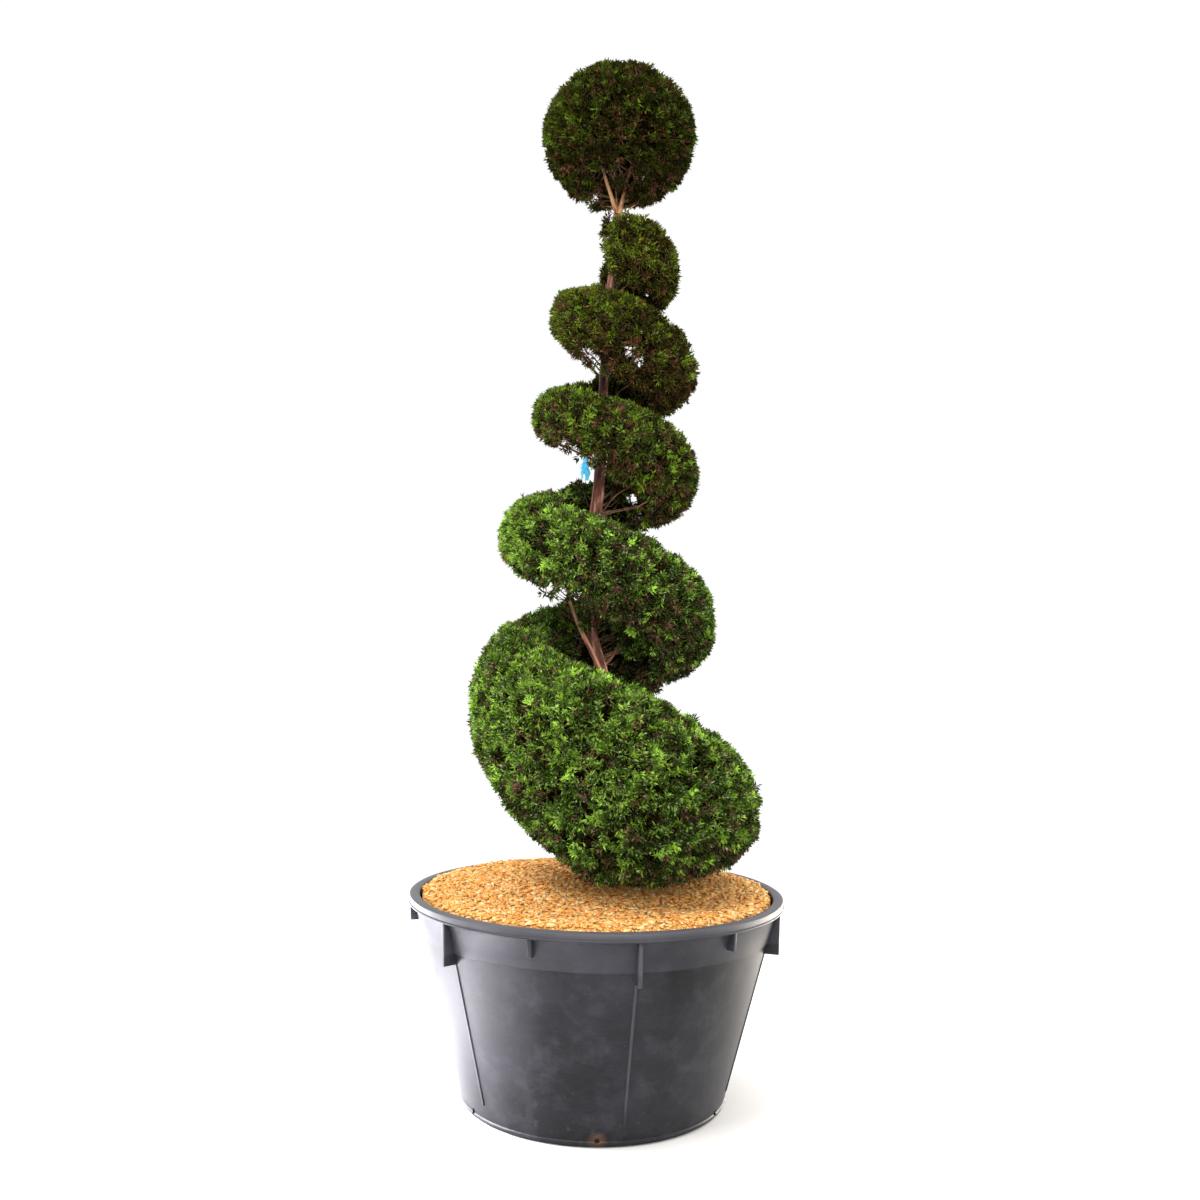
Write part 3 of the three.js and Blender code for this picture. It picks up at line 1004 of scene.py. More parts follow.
@dataclass
class Tub:
    """The nursery tub: turned wall with a rolled rim, collar, fins, seams, bead and drains."""

    sides: int = 128
    rim_depth: float = 0.027
    rim_width: float = 0.036
    wall: float = 0.007
    base_radius: float = 0.419
    wall_top_radius: float = 0.588
    collar_bottom: float = 0.522
    collar_step: float = 0.0035
    bead_height: float = 0.013
    bead_size: float = 0.004
    fins: int = 6  # long ones, with a short one between each two
    long_fin: float = 0.124
    short_fin: float = 0.053
    fin_thickness: float = 0.013
    fin_slant: float = 0.004  # how much less its foot stands out than its top
    first_long: float = 12.0
    first_short: float = -18.0
    seam_width: float = 0.006
    seam_flare: float = 1.6  # how much wider a seam is at the wall
    seam_bottom: float = 0.063
    drains: int = 6
    drain_radius: float = 0.008
    drain_height: float = 0.021
    first_drain: float = 2.0
    rim_top: float = field(init=False)
    rim_radius: float = field(init=False)

    def __post_init__(self) -> None:
        """Reads the rim from the CAD node."""
        _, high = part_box("tub")
        self.rim_top, self.rim_radius = high.z, high.x

    def _wall_radius(self, z: float) -> float:
        """The wall's outer radius at a height."""
        share = z / (self.rim_top - self.rim_depth)
        return self.base_radius + share * (self.wall_top_radius - self.base_radius)

    def _profile(self) -> list[tuple[float, float]]:
        """Draws the wall's outline, from under the base to the inner floor.

        Returns:
            The radius and the height of each point.
        """
        top, rim, under = self.rim_top, self.rim_radius, self.rim_top - self.rim_depth
        bead, step, collar = self.bead_height, self.collar_bottom, self.collar_step
        inner = rim - self.rim_width

        def at(z: float, proud: float = 0.0) -> tuple[float, float]:
            """A point that stands this far proud of the wall."""
            return self._wall_radius(z) + proud, z

        return [
            (self.base_radius - 0.004, 0.0),
            at(0.003),
            at(bead - 0.006),
            at(bead - 0.002, self.bead_size),
            at(bead + 0.002, self.bead_size),
            at(bead + 0.006),
            at(0.2),
            at(0.36),
            at(step - 0.001),
            at(step + 0.001, collar),
            at(step + 0.03, collar),
            at(under - 0.002, collar),
            at(under, collar + 0.002),
            (rim - 0.003, under),
            (rim, under + 0.002),
            (rim, under + 0.005),
            (rim - 0.0025, under + 0.0075),
            (rim - 0.0015, top - 0.008),
            (rim - 0.003, top - 0.003),
            (rim - 0.008, top),
            (inner + 0.008, top),
            (inner + 0.002, top - 0.003),
            (inner, top - 0.009),
            (self._wall_radius(under) - self.wall, under - 0.014),
            at(0.45, -self.wall),
            at(0.009, -self.wall),
        ]

    def _shell(self) -> Piece:
        """Extrudes the turned wall, ring by ring, from a disc, and bores its drain holes.

        Returns:
            The wall.
        """
        profile = self._profile()
        circle = bpy.ops.mesh.primitive_circle_add
        disc = primitive(circle, vertices=self.sides, radius=profile[0][0], fill_type="NGON")
        shell = extruded(disc, (
            ((0, 0, z - last_z), (r / last_r, r / last_r, 1), (0, 0, z))
            for (last_r, last_z), (r, z) in zip(profile, profile[1:])
        ))
        cutters = []
        for i in range(self.drains):
            bearing = math.radians(self.first_drain + i * 360 / self.drains)
            x, y = math.sin(bearing) * self.base_radius, -math.cos(bearing) * self.base_radius
            cutters.append(primitive(
                bpy.ops.mesh.primitive_cylinder_add,
                vertices=20,
                radius=self.drain_radius,
                depth=0.06,
                location=(x, y, self.drain_height),
                rotation=(math.pi / 2, 0, bearing),
            ))
        cutter = joined(cutters, "drain_cutter")
        bake_modifier(shell, "BOOLEAN", object=cutter, operation="DIFFERENCE", solver="EXACT")
        bpy.data.objects.remove(cutter)
        return shell

    def _fin(self, height: float, bearing: float, seam: bool) -> Piece:
        """Models one fin, with its seam down the wall below it.

        Args:
            height: How far it reaches down from the rim.
            bearing: Degrees from the front, positive to the right.
            seam: Whether a seam runs on down the wall.

        Returns:
            The fin.
        """
        top = self.rim_top - self.rim_depth + 0.001
        low = top - height
        outer, inner = self.rim_radius - 0.004, self._wall_radius(low) - self.wall / 2
        y, z = -(outer + inner) / 2, (top + low) / 2
        size = (self.fin_thickness, outer - inner, height)
        fin = primitive(bpy.ops.mesh.primitive_cube_add, size=1, location=(0, y, z), scale=size)
        for vertex in fin.data.vertices:
            by_wall, above = vertex.co.y > y, vertex.co.z > z
            if by_wall and above:
                vertex.co.y = -(self._wall_radius(top) - self.wall / 2)
            if not by_wall and not above:
                vertex.co.y += self.fin_slant
        bake_modifier(fin, "BEVEL", width=0.0025, segments=2)
        whole = joined([fin, self._seam(low)] if seam else [fin], "fin")
        whole.rotation_euler = (0, 0, math.radians(bearing))
        return settle(whole)

    def _seam(self, top: float) -> Piece:
        """Models the thin seam that runs down the wall under a long fin.

        Args:
            top: The height that it starts at.

        Returns:
            The seam, at the front of the tub.
        """
        cube = bpy.ops.mesh.primitive_cube_add
        seam = primitive(cube, size=1, scale=(self.seam_width, 0.004, 1.0))
        for vertex in seam.data.vertices:
            proud, flare = (0.0034, 1.0) if vertex.co.y < 0 else (-0.002, self.seam_flare)
            z = top if vertex.co.z > 0 else self.seam_bottom
            vertex.co = (vertex.co.x * flare, -(self._wall_radius(z) + proud), z)
        bake_modifier(seam, "BEVEL", width=0.0008, segments=2)
        return seam

    def build(self) -> None:
        """Models the tub and dresses it, with the soil in it."""
        pieces = [self._shell()]
        for i in range(self.fins):
            turn = i * 360 / self.fins
            pieces.append(self._fin(self.long_fin, self.first_long + turn, True))
            pieces.append(self._fin(self.short_fin, self.first_short + turn, False))
        tub = joined(pieces, "tub_wall")
        smooth(tub, 38)
        dress(tub, PlasticFinish("tub_plastic"), "tub_plastic", "tub")
        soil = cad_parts["soil"]
        soil.data.materials.clear()
        soil.data.materials.append(SoilFinish("soil").make())


# ---- chips


@dataclass
class ChipMound:
    """The mound of wood chips: a rough bed with loose chips lying on it."""

    voxel: float = 0.0125
    roughness: float = 0.004
    banked: float = 0.024  # how much higher the chips lie along the tub's wall
    bank: tuple[float, float] = (0.4, 0.56)  # the radii that they rise between
    count: int = 11000
    length: tuple[float, float] = (0.01, 0.034)
    width: tuple[float, float] = (0.006, 0.016)
    thickness: tuple[float, float] = (0.002, 0.005)
    tilt: float = 0.13
    seed: int = 11
    tones: tuple[ChipFinish, ...] = (
        ChipFinish("chip_golden", (0.69, 0.31, 0.07), (0.81, 0.48, 0.17)),
        ChipFinish("chip_red", (0.64, 0.25, 0.048), (0.78, 0.37, 0.11)),
        ChipFinish("chip_straw", (0.76, 0.45, 0.165), (0.82, 0.62, 0.35)),
    )
    shares: tuple[float, ...] = (0.5, 0.24, 0.26)  # of the chips, by tone

    def _bed(self) -> Piece:
        """Models the bed from the CAD mound, rough on top.

        Returns:
            The bed.
        """
        bed = merged_copy("wood_chips", "chip_bed")
        even_skin(bed, self.voxel, 6)
        points = corners_of(bed)
        on_top = points[:, 2] > points[:, 2].min() + 0.012
        lift = self.roughness * (lumps(points * 55) + 0.6 * lumps(points * 130))
        lift += self.banked * smoothstep(np.linalg.norm(points[:, :2], axis=1), *self.bank)
        points[:, 2] += np.where(on_top, lift, 0)
        move_corners(bed, points)
        smooth(bed)
        return bed

    def _chips(self, bed: Piece) -> np.ndarray:
        """Scatters loose chips on the bed.

        Args:
            bed: The bed.

        Returns:
            The chips' eight corners each.
        """
        rng = np.random.default_rng(self.seed)
        _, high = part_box("wood_chips")
        tree = BVHTree.FromObject(bed, bpy.context.evaluated_depsgraph_get())
        radius = (high.x - 0.012) * np.sqrt(rng.random(self.count))
        turn = rng.random(self.count) * 2 * math.pi
        spans = (self.length, self.width, self.thickness)
        sizes = np.stack([rng.uniform(*span, self.count) for span in spans], axis=1)
        tapers = rng.uniform(0.35, 1.0, (self.count, 8, 2))
        tilts = rng.normal(0, self.tilt, (self.count, 2))
        spins = rng.random(self.count) * 2 * math.pi
        lifts = rng.uniform(-0.0022, 0.0035, self.count)
        box = np.array([[x, y, z] for z in (-0.5, 0.5) for y in (-0.5, 0.5) for x in (-0.5, 0.5)])
        up, chips = Vector((0, 0, 1)), []
        for i, (x, y) in enumerate(zip(radius * np.cos(turn), radius * np.sin(turn))):
            hit, normal, _, _ = tree.ray_cast(Vector((x, y, 1.0)), -up)
            if hit is None:
                continue
            turned = up.rotation_difference(normal).to_matrix() @ Euler((*tilts[i], spins[i])).to_matrix()
            shape = box * sizes[i]
            shape[:, :2] *= tapers[i]
            centre = np.array(hit) + np.array(normal) * (lifts[i] + sizes[i, 2] / 2)
            chips.append(shape @ np.array(turned).T + centre)
        return np.array(chips)

    def build(self) -> None:
        """Models the bed and the chips, and dresses both."""
        bed = self._bed()
        dress(bed, LitterFinish("chip_bed"), "wood_chips", "wood_chips")
        chips = self._chips(bed)
        faces = np.array([
            [0, 2, 3, 1], [4, 5, 7, 6], [0, 1, 5, 4], [2, 6, 7, 3], [0, 4, 6, 2], [1, 3, 7, 5],
        ])
        rng = np.random.default_rng(self.seed + 1)
        tone_of = rng.choice(len(self.tones), size=len(chips), p=self.shares)
        for number, tone in enumerate(self.tones):
            piece = from_arrays(tone.name, *many(chips[tone_of == number], faces))
            dress(piece, tone, "wood_chips")


# ---- marker tape


@dataclass
class MarkerTape:
    """The pale blue tape tied round the trunk: loop, knot and a bunch of loose ends."""

    tail_steps: int = 14
    strand: float = 0.002  # the radius of the twisted tape
    knot: float = 0.0095
    ends: tuple[tuple[float, float, float], ...] = (  # each one's swing, its length and its width
        (-1.3, 0.78, 0.014), (0.9, 0.66, 0.015), (-0.4, 0.6, 0.02),
        (0.3, 0.84, 0.013), (-1.9, 0.4, 0.018), (1.5, 0.3, 0.014),
    )

    def build(self) -> None:
        """Models the tape where its CAD solid is."""
        low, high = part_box("marker_tape")
        radius = (high.y - low.y) / 2
        y, top = (low.y + high.y) / 2, high.z - 0.006
        start, end, trunk_x = low.x - 0.003, high.x - 2 * radius, high.x - radius
        pieces = [
            primitive(
                bpy.ops.mesh.primitive_torus_add,
                location=(trunk_x, y, top),
                major_radius=radius + 0.006,
                minor_radius=self.strand,
                major_segments=36,
                minor_segments=8,
                rotation=(0.06, 0.12, 0),
            ),
            primitive(
                bpy.ops.mesh.primitive_cylinder_add,
                vertices=8,
                radius=self.strand,
                depth=abs(end - start) + 0.004,
                location=((start + end) / 2, y, top),
                rotation=(0, math.pi / 2, 0),
            ),
            self._knot(np.array([start, y, top])),
        ]
        for swing, share, width in self.ends:
            pieces.append(self._tail((start, y, top), (top - low.z) * share, swing, width))
        tape = joined(pieces, "tape_tie")
        smooth(tape, 50)
        dress(tape, TapeFinish("tape_blue"), "tape", "marker_tape")

    def _knot(self, middle: np.ndarray) -> Piece:
        """Models the knot, lumpy and a little flat.

        Args:
            middle: Its place.

        Returns:
            The knot.
        """
        sphere = bpy.ops.mesh.primitive_ico_sphere_add
        knot = primitive(sphere, subdivisions=3, radius=self.knot, location=middle.tolist())
        off = corners_of(knot) - middle
        move_corners(knot, middle + off * (1 + 0.28 * lumps(off * 160))[:, None])
        return knot

    def _tail(self, knot: tuple[float, ...], drop: float, swing: float, width: float) -> Piece:
        """Models one loose end, a ribbon that twists as it hangs.

        Args:
            knot: The knot's place.
            drop: How far down the end reaches.
            swing: Which way it swings, and how far.
            width: The ribbon's width.

        Returns:
            The ribbon.
        """
        x, y, top = knot
        grid = bpy.ops.mesh.primitive_grid_add
        tail = primitive(grid, x_subdivisions=2, y_subdivisions=self.tail_steps, size=1)
        for vertex in tail.data.vertices:
            down = 0.5 - vertex.co.y
            across = vertex.co.x * width * (0.45 + 0.55 * min(3 * down, 1))
            twist = swing * (0.2 + 0.7 * down)
            aside = 0.011 * swing * down + 0.003 * math.sin(9 * down + swing)
            back = 0.004 * swing + 0.003 * math.sin(7 * down)
            vertex.co = (
                x + aside + across * math.cos(twist), y + back + across * math.sin(twist), top - down * drop
            )
        bake_modifier(tail, "SOLIDIFY", thickness=0.0008)
        return tail


# ---- foliage


class Tint(Enum):
    """The tints that needles are dealt in, spray by spray."""

    NEW = 0
    BRIGHT = 1
    GREEN = 2
    SPENT = 3
    DARK = 4


@dataclass(frozen=True)
class Tier:
    """One height of foliage with its greens, darker higher up partly as painted shade."""

    name: str
    nodes: tuple[str, ...]
    slot: str
    colours: tuple[Colour, ...]  # in the order of Tint
    fresh: float  # tufts of new growth to each square metre
    shares: tuple[float, float, float]  # chances of BRIGHT, GREEN and SPENT; the rest are DARK
    # The pale needles' colour: partly undersides, partly a painted highlight, brightest on the low turns.
    pale: Colour
    # The inner sprays' colour: a dark brown-green, partly painted shade of the plant's inside.
    inner: Colour


# The greens darken from the low turns up to the ball: partly the leaves' own olive, partly painted shade of
# the upper tiers seen from below.
LOW_GREENS = (
    (0.28, 0.5, 0.05), (0.15, 0.265, 0.022), (0.042, 0.094, 0.004), (0.1, 0.054, 0.028),
    (0.016, 0.027, 0.002),
)
MIDDLE_GREENS = (
    (0.15, 0.28, 0.014), (0.11, 0.185, 0.01), (0.04, 0.07, 0.003), (0.1, 0.043, 0.02),
    (0.018, 0.018, 0.002),
)
HIGH_GREENS = (
    (0.12, 0.21, 0.01), (0.096, 0.13, 0.006), (0.036, 0.049, 0.001), (0.085, 0.037, 0.014),
    (0.02, 0.016, 0.002),
)
BALL_GREENS = (
    (0.075, 0.13, 0.008), (0.055, 0.08, 0.005), (0.022, 0.032, 0.001), (0.07, 0.032, 0.014),
    (0.013, 0.013, 0.001),
)


def masses(*turns: int) -> tuple[str, ...]:
    """The CAD masses of these turns of the spiral."""
    starts = tuple(f"turn_{turn}_" for turn in turns)
    return tuple(sorted(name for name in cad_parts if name.startswith(starts)))


BAND_TIERS = (
    Tier("turn_1", masses(1), "foliage_low", LOW_GREENS, 85.0, (0.25, 0.32, 0.08),
         (0.46, 0.46, 0.32), (0.023, 0.017, 0.004)),
    Tier("turn_2", masses(2), "foliage_low", LOW_GREENS, 80.0, (0.26, 0.32, 0.08),
         (0.47, 0.46, 0.32), (0.023, 0.016, 0.004)),
    Tier("turn_3", masses(3), "foliage_high", MIDDLE_GREENS, 50.0, (0.24, 0.33, 0.11),
         (0.27, 0.26, 0.17), (0.021, 0.013, 0.004)),
    Tier("turn_4", masses(4, 5), "foliage_high", HIGH_GREENS, 36.0, (0.24, 0.33, 0.1),
         (0.23, 0.21, 0.13), (0.021, 0.011, 0.004)),
)
BALL_TIERS = (
    Tier("ball", ("ball",), "foliage_high", BALL_GREENS, 30.0, (0.24, 0.35, 0.1),
         (0.11, 0.104, 0.05), (0.016, 0.01, 0.003)),
)


def beside(node: str, across: float, up: float) -> tuple[float, float]:
    """A place by shares of a CAD node's box: 0 is its lowest corner and 1 its highest."""
    low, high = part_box(node)
    return low.x + across * (high.x - low.x), low.z + up * (high.z - low.z)


@dataclass(frozen=True)
class GapRow:
    """A row of gaps through the foliage by a lobe's thin edge, open towards the front."""

    node: str  # the places are shares of its box
    radius: float
    first: tuple[float, float]  # across and up
    last: tuple[float, float] | None = None
    count: int = 1
    y: float = 0.0
    reach: float = 0.45  # how far each runs both ways along the line of sight

    def hold(self, points: np.ndarray, spare: float) -> np.ndarray:
        """Finds the points in the row's gaps.

        Args:
            points: Points, one row each.
            spare: How far outside a gap a point still counts.

        Returns:
            True for each point that is in one.
        """
        held = np.zeros(len(points), dtype=bool)
        for share in np.linspace(self.first, self.last or self.first, self.count):
            x, z = beside(self.node, *share)
            centre = np.array([x, self.y, z])
            way = unit(centre - np.array(VIEWPOINT))
            off = points - centre
            along = off @ way
            across = np.linalg.norm(off - along[:, None] * way, axis=1)
            held |= (across < self.radius + spare) & (np.abs(along) < self.reach)
        return held


GAP_ROWS = (
    GapRow("turn_2_left", 0.012, (0.6, 0.1), (0.9, 0.0), 3),  # under the left lobes, by the trunk
    GapRow("turn_3_left", 0.016, (0.5, 0.25), (0.85, 0.05), 3),
    GapRow("turn_3_left", 0.016, (0.9, -0.1)),
    GapRow("turn_4_front", 0.014, (0.2, 0.5), (0.35, 0.35), 4),
    GapRow("turn_3_right", 0.016, (0.05, 0.25)),  # right of the trunk
    GapRow("turn_3_right", 0.007, (0.15, 0.1), (0.35, 0.1), 2),
    GapRow("turn_4_front", 0.014, (0.6, 0.5), (0.7, 0.4), 2),
    GapRow("turn_4_right", 0.006, (0.75, 0.65)),
    GapRow("turn_5_right", 0.008, (0.3, 0.2)),
    GapRow("ball", 0.012, (0.35, 0.0)),  # by the fork
    GapRow("ball", 0.005, (0.65, 0.15)),
    GapRow("ball", 0.025, (0.4, 0.05), (0.55, 0.1), 2, y=-0.13, reach=0.13),
    GapRow("marker_tape", 0.036, (1.0, 0.75), y=-0.11, reach=0.115),
    GapRow("marker_tape", 0.022, (0.9, 0.4), y=-0.12, reach=0.11),
)


def in_gap(points: np.ndarray, spare: float) -> np.ndarray:
    """True for the points in any gap or within spare of one."""
    return np.any([row.hold(points, spare) for row in GAP_ROWS], axis=0)


@dataclass(frozen=True)
class Tuft:
    """Loose sprays on bare twigs that fan from the trunk, close in where nothing is clipped."""

    x: float
    z: float
    half_width: float
    half_height: float
    sprays: int
    y: float = 0.0
    half_depth: float = 0.04
    fall: float = 0.07  # how far below the tuft its twigs leave the trunk


BAND_TUFTS = (
    Tuft(-0.09, 2.455, 0.05, 0.03, 24),
    Tuft(0.034, 2.421, 0.045, 0.05, 70, y=0.06),
    Tuft(0.05, 2.033, 0.06, 0.055, 140, y=0.05),
    Tuft(0.05, 1.975, 0.03, 0.04, 80, y=0.04),
    Tuft(-0.082, 1.987, 0.045, 0.025, 40, y=0.06),
    Tuft(-0.185, 1.624, 0.06, 0.03, 14, fall=0.12),
    Tuft(-0.1, 1.585, 0.04, 0.025, 40, y=0.05),
    Tuft(-0.05, 1.575, 0.045, 0.035, 90, y=-0.06),
    Tuft(-0.055, 1.52, 0.02, 0.04, 40, y=-0.05),
    Tuft(0.1, 1.47, 0.07, 0.07, 170, y=0.1),
    Tuft(0.05, 1.545, 0.035, 0.055, 150, y=-0.04),
    Tuft(0.1, 1.46, 0.045, 0.06, 150, y=-0.01),
    Tuft(-0.14, 1.5, 0.07, 0.06, 130, y=0.14),
    Tuft(-0.011, 2.892, 0.022, 0.05, 30),
    Tuft(-0.012, 2.735, 0.016, 0.035, 60, y=0.025),
    Tuft(0.07, 2.71, 0.045, 0.045, 130, y=0.03),
    Tuft(0.16, 1.30, 0.05, 0.025, 60, y=0.15),
)
BALL_TUFTS = (
    Tuft(-0.1, 3.014, 0.045, 0.016, 48, fall=0.03),
    Tuft(-0.046, 2.972, 0.03, 0.01, 24, fall=0.01),
    Tuft(0.1, 3.002, 0.05, 0.018, 90, fall=0.03),
    Tuft(0.02, 3.01, 0.06, 0.016, 80, y=0.05, fall=0.03),
)


@dataclass(frozen=True)
class BareTwigs:
    """A few thin bare twigs from the trunk to one place under a lobe."""

    node: str
    across: float  # where they end, as shares of the node's box
    up: float
    fall: float  # how far below that they leave the trunk
    count: int
    y: float = 0.0
    sag: float = 0.0
    spread: float = 0.012


BARE_TWIGS = (
    BareTwigs("turn_3_right", 0.7, 0.4, 0.11, 2, y=-0.1, sag=0.035, spread=0.004),
    BareTwigs("turn_4_left", 0.3, 0.25, 0.12, 4),
    BareTwigs("turn_4_left", 0.6, 0.3, 0.11, 3),
    BareTwigs("turn_3_left", 0.15, 0.3, 0.09, 5),
    BareTwigs("turn_3_left", 0.5, 0.3, 0.07, 3),
    BareTwigs("turn_2_left", 0.55, 0.15, 0.1, 8, spread=0.018),
    BareTwigs("turn_2_left", 0.75, 0.15, 0.06, 6, spread=0.016),
)


@dataclass
class Outline:
    """The clipped outline of some masses, as one even skin with its normals."""

    nodes: tuple[str, ...]
    voxel: float = 0.016
    swell: float = 0.002
    points: np.ndarray = field(init=False)
    faces: np.ndarray = field(init=False)
    normals: np.ndarray = field(init=False)
    running_area: np.ndarray = field(init=False)
    tree: BVHTree = field(init=False)

    def __post_init__(self) -> None:
        """Fuses the masses' CAD solids and reads the skin."""
        copies = [merged_copy(name, name + "_skin") for name in self.nodes]
        for copy in copies:
            bake_modifier(copy, "DISPLACE", strength=self.swell, mid_level=0.0)
        skin = joined(copies, "skin")
        even_skin(skin, self.voxel, 8)
        self.points, self.faces = corners_of(skin), triangles_of(skin)
        self.normals = corners_of(skin, "normal")
        self.tree = BVHTree.FromPolygons(self.points.tolist(), self.faces.tolist())
        a, b, c = (self.points[self.faces[:, k]] for k in range(3))
        self.running_area = np.cumsum(np.linalg.norm(np.cross(b - a, c - a), axis=1) / 2)
        bpy.data.objects.remove(skin)

    @property
    def area(self) -> float:
        """The skin's area."""
        return float(self.running_area[-1])

    def depths(self, points: np.ndarray, normals: np.ndarray) -> np.ndarray:
        """How thick the masses are under these points on their skin."""
        found = []
        for point, way in zip(points, -normals):
            hit, _, _, distance = self.tree.ray_cast(Vector(point + 0.004 * way), Vector(way))
            found.append(0.3 if hit is None else distance + 0.004)
        return np.array(found)


@dataclass(frozen=True)
class Spray:
    """One kind of spray: a shoot with needles to both sides."""

    needles: int
    shoot: float  # the part of the shoot that bears needles
    needle: float
    width: float
    lift: float  # how far needles rise out of the spray's plane
    folded: bool  # two faces that meet in a fold along the needle, or else one face

    def grow(
        self, tips: np.ndarray, ways: np.ndarray, flats: np.ndarray, rng: np.random.Generator
    ) -> tuple[np.ndarray, np.ndarray]:
        """Makes the needles of many sprays.

        Args:
            tips: Where each shoot ends.
            ways: The direction each shoot grows in.
            flats: The direction each spray's flat side looks in.
            rng: Where the random draws come from.

        Returns:
            The needles' corners, as sprays by needles by corners, and one needle's triangles.
        """
        every = len(tips), self.needles
        rank = np.where(np.arange(self.needles) % 2 == 0, 1.0, -1.0)
        along = np.linspace(0.0, 1.0, self.needles)
        fork = np.radians(68 - 46 * along**1.5) + rng.normal(0, 0.17, every)
        length = self.needle * (0.72 + 0.5 * np.sin(math.pi * (0.12 + 0.8 * along)) - 0.22 * along)
        length = (length * rng.uniform(0.75, 1.15, every))[..., None]
        side = unit(np.cross(flats, ways))
        flat = np.cross(ways, side)[:, None]
        start = tips[:, None] - ways[:, None] * (self.shoot * (1 - along))[None, :, None]
        ways, side = ways[:, None], side[:, None]
        rise = rng.normal(0.4 * self.lift, self.lift, every)[..., None]
        way = np.cos(fork)[..., None] * ways + (np.sin(fork) * rank)[..., None] * side
        way = unit(way + rise * flat)
        turn = rng.normal(0, 0.6, every)[..., None]
        across = unit(np.cross(flat * np.cos(turn) + side * np.sin(turn), way))
        droop = np.cross(way, across)
        half = self.width / 2 * rng.uniform(0.85, 1.2, every)[..., None]
        tip = start + way * length + droop * (rng.uniform(-0.1, 0.22, every)[..., None] * length)
        if not self.folded:
            corners = [start - across * half, start + across * half, tip]
            return np.stack(corners, axis=2), np.array([[0, 1, 2]])
        middle = start + way * length * 0.42 - droop * (half * 0.5)
        corners = [start, middle - across * half, middle + across * half, tip]
        return np.stack(corners, axis=2), np.array([[0, 1, 3], [0, 3, 2]])


OUTER_SPRAY = Spray(needles=9, shoot=0.024, needle=0.0225, width=0.0065, lift=0.55, folded=True)
INNER_SPRAY = Spray(needles=10, shoot=0.045, needle=0.029, width=0.0095, lift=0.6, folded=False)


def rods(
    rings: list[tuple[np.ndarray, np.ndarray | float]], ends: np.ndarray, sides: int
) -> tuple[np.ndarray, np.ndarray]:
    """Makes many tapering twigs, each of which ends in a point.

    Args:
        rings: The centres and the radii of their rings, from the root on.
        ends: Where each ends.
        sides: The number of sides.

    Returns:
        All their corners and their triangles.
    """
    way = unit(ends - rings[0][0])
    side = unit(np.cross(way, ASKEW))
    other = np.cross(way, side)
    turn = (np.arange(sides) * 2 * math.pi / sides)[None, :, None]
    ring = side[:, None] * np.cos(turn) + other[:, None] * np.sin(turn)
    corners = [centre[:, None] + ring * np.reshape(radius, (-1, 1, 1)) for centre, radius in rings]
    low = np.arange(sides)
    after = (low + 1) % sides
    faces = []
    for _ in rings[1:]:
        faces += [(low, after, after + sides), (low, after + sides, low + sides)]
        low, after = low + sides, after + sides
    faces.append((low, after, np.full(sides, len(rings) * sides)))
    faces = np.concatenate([np.stack(face, axis=1) for face in faces])
    return many(np.concatenate([*corners, ends[:, None]], axis=1), faces)


def needle_piece(name: str, needles: np.ndarray, faces: np.ndarray) -> Piece:
    """Joins the needles of some sprays into one piece."""
    return from_arrays(name, *many(needles.reshape(-1, *needles.shape[2:]), faces))


@dataclass
class Shoots:
    """Shoots that will bear sprays: their tips, directions, tiers and tints."""

    tips: np.ndarray
    ways: np.ndarray
    flats: np.ndarray
    tiers: np.ndarray
    tints: np.ndarray


def mottle(points: np.ndarray, length: float, seed: float) -> np.ndarray:
    """Patchy random values, mostly between -1 and 1.

    Args:
        points: Points, one row each.
        length: The size of the patches.
        seed: Shifts the pattern.

    Returns:
        One value for each point.
    """
    return 2.2 * lumps(points / length + np.array([1.7 * seed, 2.9 * seed, -1.3 * seed]))


